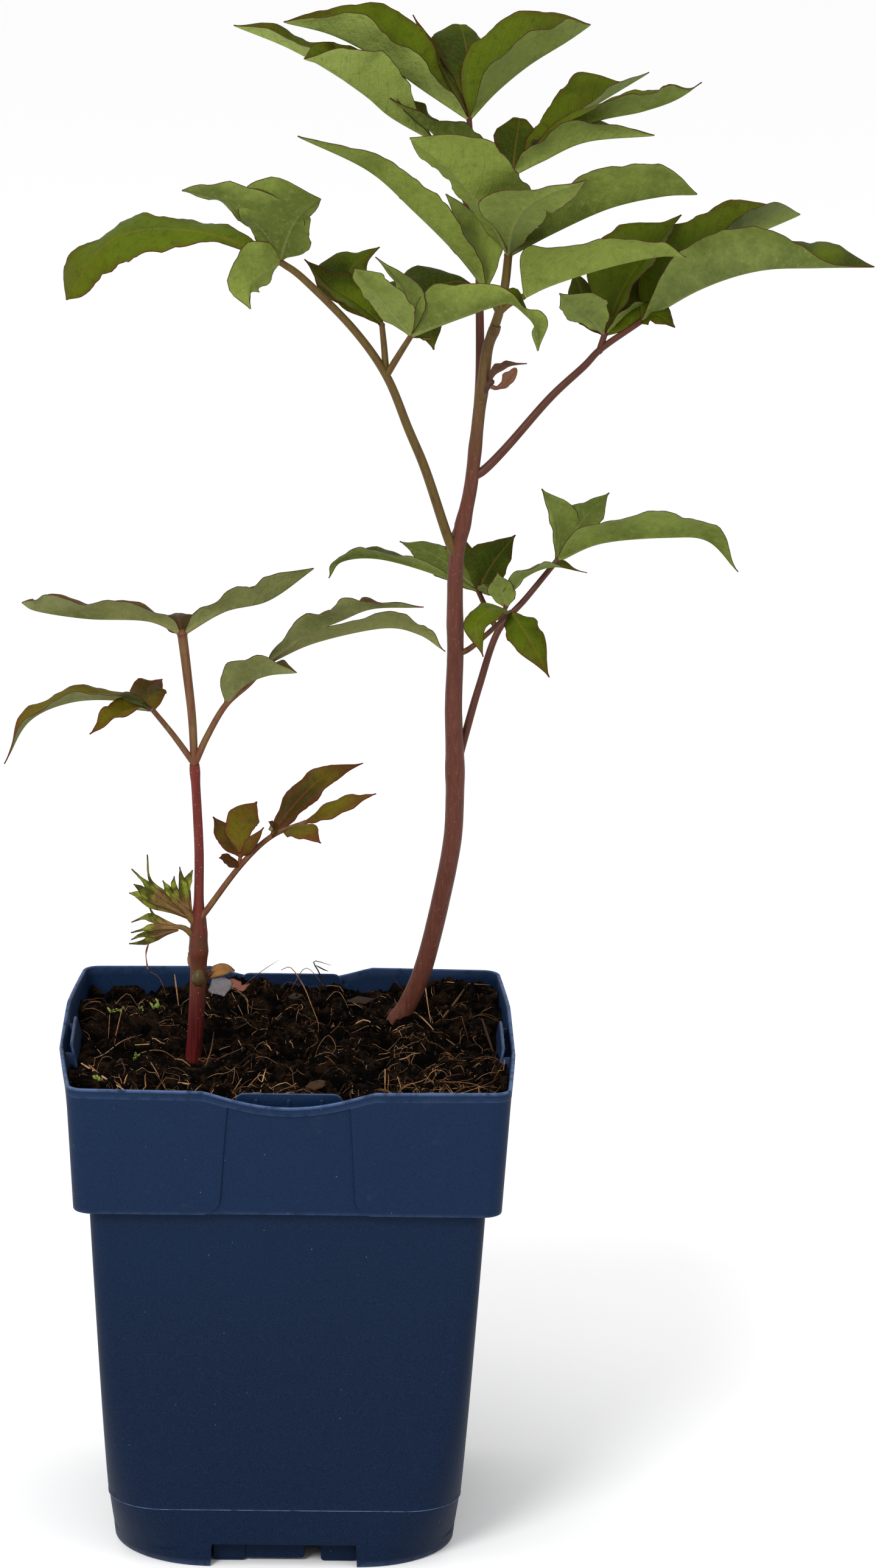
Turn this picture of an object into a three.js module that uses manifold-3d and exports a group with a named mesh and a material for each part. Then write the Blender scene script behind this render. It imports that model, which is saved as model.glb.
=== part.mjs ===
// A young peony in a square plastic nursery pot, in millimetres, +Z up.
// The origin is the middle of the pot's base, on the surface that the pot stands on.
// Two leafy stems stand in the soil: a tall one with six leaves and a short one with two
// leaves, sprouts and bud scales at its foot.
import * as THREE from "three";
import { mergeVertices } from "three/addons/utils/BufferGeometryUtils.js";
import Module from "manifold-3d";

const wasm = await Module();
wasm.setup();

// Pot sizes
const POT_HEIGHT = 200;
const RIM_HALF = 85;
const COLLAR_BOTTOM_Z = 149.2;
const COLLAR_BOTTOM_HALF = 82.1;
const PARTING_Z = 24.3;
const PARTING_HALF = 69.2;
const FOOT_HALF = 67;
const BODY_TOP_HALF = 76.2;
const WALL = 1.6;
const BASE_Z = 9.4;
const BASE_THICKNESS = 2;
const COLLAR_CORNER = 7;
const BODY_CORNER = 6;
const FOOT_CORNER_EXTRA = 20;
const CORNER_STEPS = 3;
// How far the rim bows out in the middle of the front, right, back and left side
const SIDE_BOW = [2, 3.5, 2, 5.5];
const PANEL_RECESS = 1;
const PANEL_HALF_TOP = 23;
const PANEL_HALF_BOTTOM = 26;
const PANEL_CORNER = 5;
const DIP_START_Z = 193;
const RIM_DIP = 4.6;
const RIM_DIP_HALF = 33;
const RIM_DIP_SLOPE = 10;
const COLLAR_RINGS_Z = [150, 151.5, 154.2, 172, DIP_START_Z];
const BODY_STEP_Z = 65;
const SHELL_STEP = 1.8;
const RIM_EDGE = 0.5;

// Label pockets, one inside the rim of each side
const POCKET_HALF = 21.5;
const POCKET_WALL = 1.3;
const POCKET_SLOT = 2.4;
const POCKET_FLOOR_Z = 184.5;
const POCKET_TOP_Z = 199.5;
const POCKET_RIB_SPACING = 12.5;
const POCKET_RIB_HALF = 0.6;
const POCKET_RIB_HEIGHT = 0.7;

// Foot of the pot
const NOTCH_HALF = 29.5;
const NOTCH_REACH = [55, 75];
const FOOT_RIB_HALF = 28;
const FOOT_RIB_INSET = 7;
const FOOT_RIB_THICKNESS = 2;
const FOOT_RIB_CLEAR = 1.6;
const FOOT_RIB_GAP = [7, 13];
const BOSS_RADIUS = 9;
const DRAIN_RADIUS = 5;
const DRAIN_CIRCLE = 44;
const DRAIN_COUNT = 8;

// Gap between touching pieces, and how far the parts of one piece run into each other
const GAP = 0.3;
const JOIN = 0.5;

// Soil
const SOIL_REACH = 90;
const SOIL_LEVEL = 191;
const SOIL_CELLS = 11;
const HOLE_SIDES = 9;

// Leaf stalks and blades
const STALK_SIDES = 5;
const BLADE_THICKNESS = 0.7;
const STATION_LENGTH = 15;
const WIDE_LEAFLET = 20;
const WAVES = 3.2;
const BASE_HALF_WIDTH = 1.2;
const TIP_HALF_WIDTH = 0.5;

const COLOURS = {
  pot: 0x1b2d50,
  soil: 0x1d1611,
  stem: 0x6e4137,
  shoot: 0x8a3c42,
  leaf: 0x4a6a2a,
  young: 0x6b6a2a,
  bract: 0x7a5a3a,
};

// Helpers for solids

function v3(p) {
  return new THREE.Vector3(p[0], p[1], p[2]);
}

function indexed(points, triangles) {
  const geometry = new THREE.BufferGeometry();
  const flat = points.flatMap((p) => [p.x, p.y, p.z]);
  geometry.setAttribute("position", new THREE.Float32BufferAttribute(flat, 3));
  geometry.setIndex(triangles.flat());
  return geometry;
}

function solid(geometry) {
  const bare = geometry.clone();
  bare.deleteAttribute("normal");
  bare.deleteAttribute("uv");
  const merged = mergeVertices(bare, 1e-4);
  return new wasm.Manifold(new wasm.Mesh({
    numProp: 3,
    vertProperties: new Float32Array(merged.getAttribute("position").array),
    triVerts: new Uint32Array(merged.getIndex().array),
  }));
}

function union(solids) {
  return solids.reduce((all, next) => all.add(next));
}

// A scrap that a cut leaves loose is dropped, so each piece stays one body.
function largestBody(body) {
  return body.decompose().reduce((best, piece) => (piece.volume() > best.volume() ? piece : best));
}

function toMesh(name, body, colour, roughness) {
  const mesh = body.getMesh();
  const geometry = new THREE.BufferGeometry();
  geometry.setAttribute("position", new THREE.Float32BufferAttribute(mesh.vertProperties, 3));
  geometry.setIndex(Array.from(mesh.triVerts));
  geometry.computeVertexNormals();
  const material = new THREE.MeshStandardMaterial({ color: colour, roughness, metalness: 0 });
  const result = new THREE.Mesh(geometry, material);
  result.name = name;
  return result;
}

function box(x0, x1, y0, y1, z0, z1) {
  const geometry = new THREE.BoxGeometry(x1 - x0, y1 - y0, z1 - z0);
  geometry.translate((x0 + x1) / 2, (y0 + y1) / 2, (z0 + z1) / 2);
  return geometry;
}

// Closed loft through rings of equal point counts, with a fan at each end.
function loft(rings) {
  const count = rings[0].length;
  const points = rings.flat();
  const triangles = [];
  for (let i = 0; i < rings.length - 1; i += 1) {
    for (let j = 0; j < count; j += 1) {
      const a = i * count + j;
      const b = i * count + ((j + 1) % count);
      triangles.push([a, b, b + count], [a, b + count, a + count]);
    }
  }
  const last = (rings.length - 1) * count;
  const foot = new THREE.Vector3();
  const head = new THREE.Vector3();
  rings[0].forEach((p) => foot.addScaledVector(p, 1 / count));
  rings.at(-1).forEach((p) => head.addScaledVector(p, 1 / count));
  points.push(foot, head);
  for (let j = 0; j < count; j += 1) {
    const k = (j + 1) % count;
    triangles.push([points.length - 2, k, j], [points.length - 1, last + j, last + k]);
  }
  return indexed(points, triangles);
}

// Pot

// Point at `along` on a side and `out` from the pot's axis: 0 front, 1 right, 2 back, 3 left.
function sidePoint(side, along, out, z) {
  const turn = (side * Math.PI) / 2;
  const x = along * Math.cos(turn) + out * Math.sin(turn);
  const y = along * Math.sin(turn) - out * Math.cos(turn);
  return new THREE.Vector3(x, y, z);
}

function panelHalf(z) {
  const up = (z - COLLAR_BOTTOM_Z) / (POT_HEIGHT - COLLAR_BOTTOM_Z);
  const rounding = PANEL_CORNER * Math.max(0, 1 - (z - COLLAR_BOTTOM_Z) / PANEL_CORNER) ** 2;
  return PANEL_HALF_BOTTOM + (PANEL_HALF_TOP - PANEL_HALF_BOTTOM) * up + rounding;
}

function rimDip(along) {
  const t = THREE.MathUtils.clamp((RIM_DIP_HALF - Math.abs(along)) / RIM_DIP_SLOPE, 0, 1);
  return RIM_DIP * t * t * (3 - 2 * t);
}

// Ring of a rounded square: collar is 0 on the body and 1 on the collar, bow grows to the rim.
function potRing(z, half, corner, collar = 0, bow = 0, dip = 0) {
  const edge = half - corner;
  const panel = collar ? panelHalf(z) : PANEL_HALF_BOTTOM;
  const outer = Math.min(Math.max(RIM_DIP_HALF, panel + 2), edge - 1);
  const stations = [-edge, -outer, -panel - 1.2, -panel, 0];
  const ring = [];
  for (let side = 0; side < 4; side += 1) {
    for (const along of [...stations, ...stations.slice(0, -1).reverse().map((s) => -s)]) {
      const bulge = bow * SIDE_BOW[side] * Math.cos((Math.PI * along) / (2 * half));
      const recess = collar && Math.abs(along) <= panel + 0.01 ? PANEL_RECESS : 0;
      ring.push(sidePoint(side, along, half + bulge - recess, z - dip * rimDip(along)));
    }
    for (let i = 1; i < CORNER_STEPS; i += 1) {
      const a = (i / CORNER_STEPS) * (Math.PI / 2);
      const along = edge + corner * Math.sin(a);
      ring.push(sidePoint(side, along, edge + corner * Math.cos(a), z));
    }
  }
  return ring;
}

function bodyHalf(z) {
  if (z < PARTING_Z) return FOOT_HALF + ((PARTING_HALF - FOOT_HALF) * z) / PARTING_Z;
  const up = (z - PARTING_Z) / (COLLAR_BOTTOM_Z - PARTING_Z);
  return PARTING_HALF + (BODY_TOP_HALF - PARTING_HALF) * up;
}

function bodyCorner(z) {
  return BODY_CORNER + FOOT_CORNER_EXTRA * Math.max(0, 1 - z / COLLAR_BOTTOM_Z) ** 2.2;
}

function collarHalf(z) {
  const up = (z - COLLAR_BOTTOM_Z) / (POT_HEIGHT - COLLAR_BOTTOM_Z);
  return COLLAR_BOTTOM_HALF + (RIM_HALF - COLLAR_BOTTOM_HALF) * up;
}

function collarRing(z, inset) {
  const up = Math.max(0, (z - COLLAR_BOTTOM_Z) / (POT_HEIGHT - COLLAR_BOTTOM_Z));
  const dip = THREE.MathUtils.clamp((z - DIP_START_Z) / (POT_HEIGHT - DIP_START_Z), 0, 1);
  return potRing(z, collarHalf(z) - inset, COLLAR_CORNER - inset * 0.8, 1, up * up, dip);
}

function bodyRing(z, inset) {
  return potRing(z, bodyHalf(z) - inset, bodyCorner(z) - inset * 0.5);
}

const INNER_FLOOR_Z = BASE_Z + BASE_THICKNESS;

function potShell() {
  const outside = [0, PARTING_Z, BODY_STEP_Z, COLLAR_BOTTOM_Z].map((z) => bodyRing(z, 0));
  const collar = COLLAR_RINGS_Z.map((z) => collarRing(z, 0));
  const inside = [DIP_START_Z, COLLAR_BOTTOM_Z + WALL].map((z) => collarRing(z, WALL));
  const below = [COLLAR_BOTTOM_Z - SHELL_STEP, BODY_STEP_Z, INNER_FLOOR_Z].map((z) => bodyRing(z, WALL));
  return loft([
    bodyRing(BASE_Z, WALL),
    bodyRing(0, WALL),
    ...outside,
    collarRing(COLLAR_BOTTOM_Z, RIM_EDGE),
    ...collar,
    collarRing(POT_HEIGHT - RIM_EDGE, 0),
    collarRing(POT_HEIGHT, RIM_EDGE),
    collarRing(POT_HEIGHT, WALL),
    ...inside,
    ...below,
  ]);
}

// Box given along and out from a side, turned to that side.
function sideBox(side, a0, a1, o0, o1, z0, z1) {
  const geometry = box(a0, a1, -o1, -o0, z0, z1);
  geometry.rotateZ((side * Math.PI) / 2);
  return geometry;
}

function lipInner(side) {
  return collarHalf(POCKET_FLOOR_Z) + JOIN * SIDE_BOW[side] - PANEL_RECESS - WALL;
}

function pocketBox(side, grow) {
  const out = lipInner(side);
  const back = out - POCKET_SLOT - POCKET_WALL;
  return sideBox(side, -POCKET_HALF - grow, POCKET_HALF + grow, back - grow, out + JOIN,
    POCKET_FLOOR_Z - POCKET_WALL - grow, POCKET_TOP_Z + 2 * grow);
}

function pocketSlot(side) {
  const out = lipInner(side);
  const half = POCKET_HALF - POCKET_WALL;
  return sideBox(side, -half, half, out - POCKET_SLOT, out, POCKET_FLOOR_Z, POT_HEIGHT + JOIN);
}

function pocketRibs(side) {
  const out = lipInner(side) - POCKET_SLOT;
  return [-1, 0, 1].map((step) => {
    const at = step * POCKET_RIB_SPACING;
    return sideBox(side, at - POCKET_RIB_HALF, at + POCKET_RIB_HALF, out - JOIN, out + POCKET_RIB_HEIGHT,
      POCKET_FLOOR_Z - JOIN, POCKET_TOP_Z - POCKET_RIB_HEIGHT);
  });
}

function makePot() {
  let pot = solid(potShell());
  for (let side = 0; side < 4; side += 1) {
    pot = pot.add(solid(pocketBox(side, 0))).subtract(solid(pocketSlot(side)));
    pot = union([pot, ...pocketRibs(side).map(solid)]);
    pot = pot.subtract(solid(sideBox(side, -NOTCH_HALF, NOTCH_HALF, ...NOTCH_REACH, -JOIN, BASE_Z)));
    const face = FOOT_HALF - FOOT_RIB_INSET;
    for (const [a0, a1] of [[-FOOT_RIB_HALF, FOOT_RIB_GAP[0]], [FOOT_RIB_GAP[1], FOOT_RIB_HALF]]) {
      pot = pot.add(solid(sideBox(side, a0, a1, face - FOOT_RIB_THICKNESS, face, FOOT_RIB_CLEAR, BASE_Z + JOIN)));
    }
  }
  const boss = new THREE.CylinderGeometry(BOSS_RADIUS, BOSS_RADIUS, BASE_Z + JOIN, 16);
  boss.rotateX(Math.PI / 2).translate(0, 0, (BASE_Z + JOIN) / 2);
  pot = pot.add(solid(boss));
  for (let i = 0; i < DRAIN_COUNT; i += 1) {
    const a = ((i + 0.5) / DRAIN_COUNT) * 2 * Math.PI;
    const drain = new THREE.CylinderGeometry(DRAIN_RADIUS, DRAIN_RADIUS, 4 * BASE_THICKNESS, 10);
    drain.rotateX(Math.PI / 2);
    drain.translate(DRAIN_CIRCLE * Math.cos(a), DRAIN_CIRCLE * Math.sin(a), BASE_Z + BASE_THICKNESS / 2);
    pot = pot.subtract(solid(drain));
  }
  return toMesh("pot", largestBody(pot), COLOURS.pot, 0.55);
}

// Soil

// The surface is mounded behind, lower at the rear left, and uneven all over.
function soilHeight(x, y) {
  const mound = 3.6 * Math.exp(-((x - 8) ** 2 + (y - 62) ** 2) / 900);
  const hollow = 2.2 * Math.exp(-((x + 62) ** 2 + (y - 58) ** 2) / 500);
  const lumps = 1.3 * Math.sin(0.13 * x + 1.1) * Math.sin(0.11 * y + 0.4)
    + 0.9 * Math.sin(0.31 * x - 0.17 * y) * Math.cos(0.27 * y + 0.6);
  return SOIL_LEVEL + mound - hollow + lumps;
}

function soilBlock() {
  const n = SOIL_CELLS;
  const points = [];
  const triangles = [];
  for (let i = 0; i <= n; i += 1) {
    for (let j = 0; j <= n; j += 1) {
      const x = SOIL_REACH * ((2 * i) / n - 1);
      const y = SOIL_REACH * ((2 * j) / n - 1);
      points.push(new THREE.Vector3(x, y, soilHeight(x, y)));
    }
  }
  const at = (i, j) => i * (n + 1) + j;
  for (let i = 0; i < n; i += 1) {
    for (let j = 0; j < n; j += 1) {
      triangles.push([at(i, j), at(i + 1, j), at(i + 1, j + 1)], [at(i, j), at(i + 1, j + 1), at(i, j + 1)]);
    }
  }
  const border = [];
  for (let i = 0; i < n; i += 1) border.push(at(i, 0));
  for (let j = 0; j < n; j += 1) border.push(at(n, j));
  for (let i = n; i > 0; i -= 1) border.push(at(i, n));
  for (let j = n; j > 0; j -= 1) border.push(at(0, j));
  const lower = points.length;
  border.forEach((k) => points.push(new THREE.Vector3(points[k].x, points[k].y, 0)));
  const centre = points.push(new THREE.Vector3(0, 0, 0)) - 1;
  border.forEach((k, i) => {
    const m = (i + 1) % border.length;
    triangles.push([k, lower + i, lower + m], [k, lower + m, border[m]], [centre, lower + m, lower + i]);
  });
  return indexed(points, triangles);
}

function soilCavity() {
  const clear = WALL + PANEL_RECESS + GAP;
  return loft([
    bodyRing(INNER_FLOOR_Z + GAP, clear),
    bodyRing(BODY_STEP_Z, clear),
    bodyRing(COLLAR_BOTTOM_Z, clear),
    potRing(COLLAR_BOTTOM_Z + SHELL_STEP, COLLAR_BOTTOM_HALF - clear, COLLAR_CORNER - WALL),
    potRing(POT_HEIGHT, RIM_HALF - clear, COLLAR_CORNER - WALL),
  ]);
}

function makeSoil(stems) {
  let soil = solid(soilBlock()).intersect(solid(soilCavity()));
  for (let side = 0; side < 4; side += 1) soil = soil.subtract(solid(pocketBox(side, GAP)));
  stems.forEach((stem) => {
    soil = soil.subtract(stem);
  });
  return toMesh("soil", largestBody(soil), COLOURS.soil, 0.95);
}

// Stems and stalks

// Tapered tube through the points, with closed ends.
function tube(path, from, to, sides = 7, grow = 0) {
  const curve = new THREE.CatmullRomCurve3(path.map(v3), false, "catmullrom", 0.5);
  const steps = Math.max(2, Math.round(curve.getLength() / STATION_LENGTH));
  const rings = [];
  for (let i = 0; i <= steps; i += 1) {
    const s = i / steps;
    const tangent = curve.getTangent(s);
    const point = curve.getPoint(s);
    if (grow && i === 0) point.addScaledVector(tangent, -grow);
    if (grow && i === steps) point.addScaledVector(tangent, grow);
    const across = new THREE.Vector3().crossVectors(tangent, new THREE.Vector3(0, 1, 0)).normalize();
    const deep = new THREE.Vector3().crossVectors(tangent, across);
    const radius = (from + (to - from) * s) / 2 + grow;
    const ring = [];
    for (let k = 0; k < sides; k += 1) {
      const a = (k / sides) * 2 * Math.PI;
      ring.push(point.clone().addScaledVector(across, radius * Math.cos(a)).addScaledVector(deep, radius * Math.sin(a)));
    }
    rings.push(ring);
  }
  return loft(rings);
}

const TALL_STEM = {
  path: [[38, 44, 170], [42, 43, 190], [49, 41, 204], [56, 39, 228], [61, 37, 252], [64, 35, 280], [64, 33, 303],
    [63, 30, 334], [62, 27, 366], [63, 25.5, 390], [67, 23, 409], [70, 21, 431], [70, 20, 444], [73, 17, 469],
    [75, 16, 476]],
  from: 7.6,
  to: 3.8,
};

const SHORT_STEM = {
  path: [[-39, -12, 170], [-37.5, -13, 190], [-36, -14, 215], [-36, -15, 240], [-36, -16.5, 265], [-37, -18, 295],
    [-38, -19, 310]],
  from: 7,
  to: 3.6,
};

function stemSolid(stem, grow = 0) {
  return solid(tube(stem.path, stem.from, stem.to, HOLE_SIDES, grow));
}

// Leaves

function stalk(path, from, to) {
  return { path, from, to };
}

// rib is the midrib from base to tip and face the way that the upper side looks; fold lifts the
// two halves in degrees, cup bends them again on the way to the margin, twist turns the blade
// on its way to the tip, wave is the height of the margin's waves and peak where it is widest.
function leaflet(rib, width, face, fold, options = {}) {
  return { rib, width, face, fold, cup: -35, twist: 0, wave: 0.9, peak: 0.45, ...options };
}

function halfWidth(leaf, s) {
  const skew = Math.log(0.5) / Math.log(leaf.peak);
  const shape = Math.sin(Math.PI * s ** skew) ** (0.85 + 0.5 * s * s);
  const least = BASE_HALF_WIDTH + (TIP_HALF_WIDTH - BASE_HALF_WIDTH) * s;
  return Math.max((leaf.width / 2) * shape, least);
}

// Middle surface of a blade as a grid of points, base to tip by left margin to right margin.
function bladeGrid(leaf, rows, columns, phase) {
  const curve = new THREE.CatmullRomCurve3(leaf.rib.map(v3), false, "catmullrom", 0.5);
  const rad = THREE.MathUtils.degToRad;
  const fold = rad(leaf.fold);
  const cup = rad(leaf.cup);
  const grid = [];
  for (let i = 0; i <= rows; i += 1) {
    const s = i / rows;
    const along = curve.getTangent(s);
    const up = v3(leaf.face).projectOnPlane(along).normalize().applyAxisAngle(along, rad(leaf.twist * s));
    const side = new THREE.Vector3().crossVectors(along, up);
    const half = halfWidth(leaf, s);
    const ends = Math.min(1, 4 * s) * Math.min(1, 4 * (1 - s));
    const row = [];
    for (let j = 0; j <= columns; j += 1) {
      const u = (2 * j) / columns - 1;
      const m = Math.abs(u);
      const out = (half * (Math.sin(fold + cup * m) - Math.sin(fold))) / cup;
      const wave = leaf.wave * m * m * ends * Math.sin(2 * Math.PI * WAVES * s + phase + (u > 0 ? 1.3 : 0));
      const lift = (half * (Math.cos(fold) - Math.cos(fold + cup * m))) / cup + wave;
      row.push(curve.getPoint(s).addScaledVector(side, Math.sign(u) * out).addScaledVector(up, lift));
    }
    grid.push(row);
  }
  return grid;
}

function gridNormal(grid, i, j) {
  const rows = grid.length - 1;
  const columns = grid[0].length - 1;
  const along = grid[Math.min(i + 1, rows)][j].clone().sub(grid[Math.max(i - 1, 0)][j]);
  const across = grid[i][Math.min(j + 1, columns)].clone().sub(grid[i][Math.max(j - 1, 0)]);
  return across.cross(along).normalize();
}

// Both faces of the blade are split into triangles alike.
function blade(leaf, phase) {
  const length = new THREE.CatmullRomCurve3(leaf.rib.map(v3)).getLength();
  const rows = THREE.MathUtils.clamp(Math.round(length / STATION_LENGTH) + 1, 3, 8);
  const columns = leaf.width > WIDE_LEAFLET ? 4 : 2;
  const grid = bladeGrid(leaf, rows, columns, phase);
  const points = [];
  const triangles = [];
  for (const side of [1, -1]) {
    grid.forEach((row, i) => row.forEach((point, j) => {
      points.push(point.clone().addScaledVector(gridNormal(grid, i, j), (side * BLADE_THICKNESS) / 2));
    }));
  }
  const under = points.length / 2;
  const at = (i, j) => i * (columns + 1) + j;
  for (let i = 0; i < rows; i += 1) {
    for (let j = 0; j < columns; j += 1) {
      const [a, b, c, d] = [at(i, j), at(i + 1, j), at(i + 1, j + 1), at(i, j + 1)];
      triangles.push([a, d, c], [a, c, b]);
      triangles.push([a + under, c + under, d + under], [a + under, b + under, c + under]);
    }
    for (const [j, flip] of [[0, false], [columns, true]]) {
      const [a, b] = flip ? [at(i + 1, j), at(i, j)] : [at(i, j), at(i + 1, j)];
      triangles.push([a, b, b + under], [a, b + under, a + under]);
    }
  }
  for (const [i, flip] of [[0, true], [rows, false]]) {
    for (let j = 0; j < columns; j += 1) {
      const [a, d] = flip ? [at(i, j + 1), at(i, j)] : [at(i, j), at(i, j + 1)];
      triangles.push([a, d + under, a + under], [a, d, d + under]);
    }
  }
  return solid(indexed(points, triangles));
}

// Small knot that joins the leaflets where a stalk ends.
function knot(point, radius) {
  const ball = new THREE.IcosahedronGeometry(radius, 0);
  ball.translate(point[0], point[1], point[2]);
  return solid(ball);
}

function makeLeaf(name, { stalks, leaflets, colour = COLOURS.leaf }, cutters) {
  const pieces = stalks.map(({ path, from, to }) => solid(tube(path, from, to, STALK_SIDES)));
  stalks.forEach(({ path, to }) => pieces.push(knot(path.at(-1), to * 0.6 + JOIN)));
  leaflets.forEach((leaf, i) => pieces.push(blade(leaf, 1.7 * i)));
  let body = union(pieces);
  cutters.forEach((cutter) => {
    body = body.subtract(cutter);
  });
  return toMesh(name, largestBody(body), colour, 0.5);
}

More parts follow.
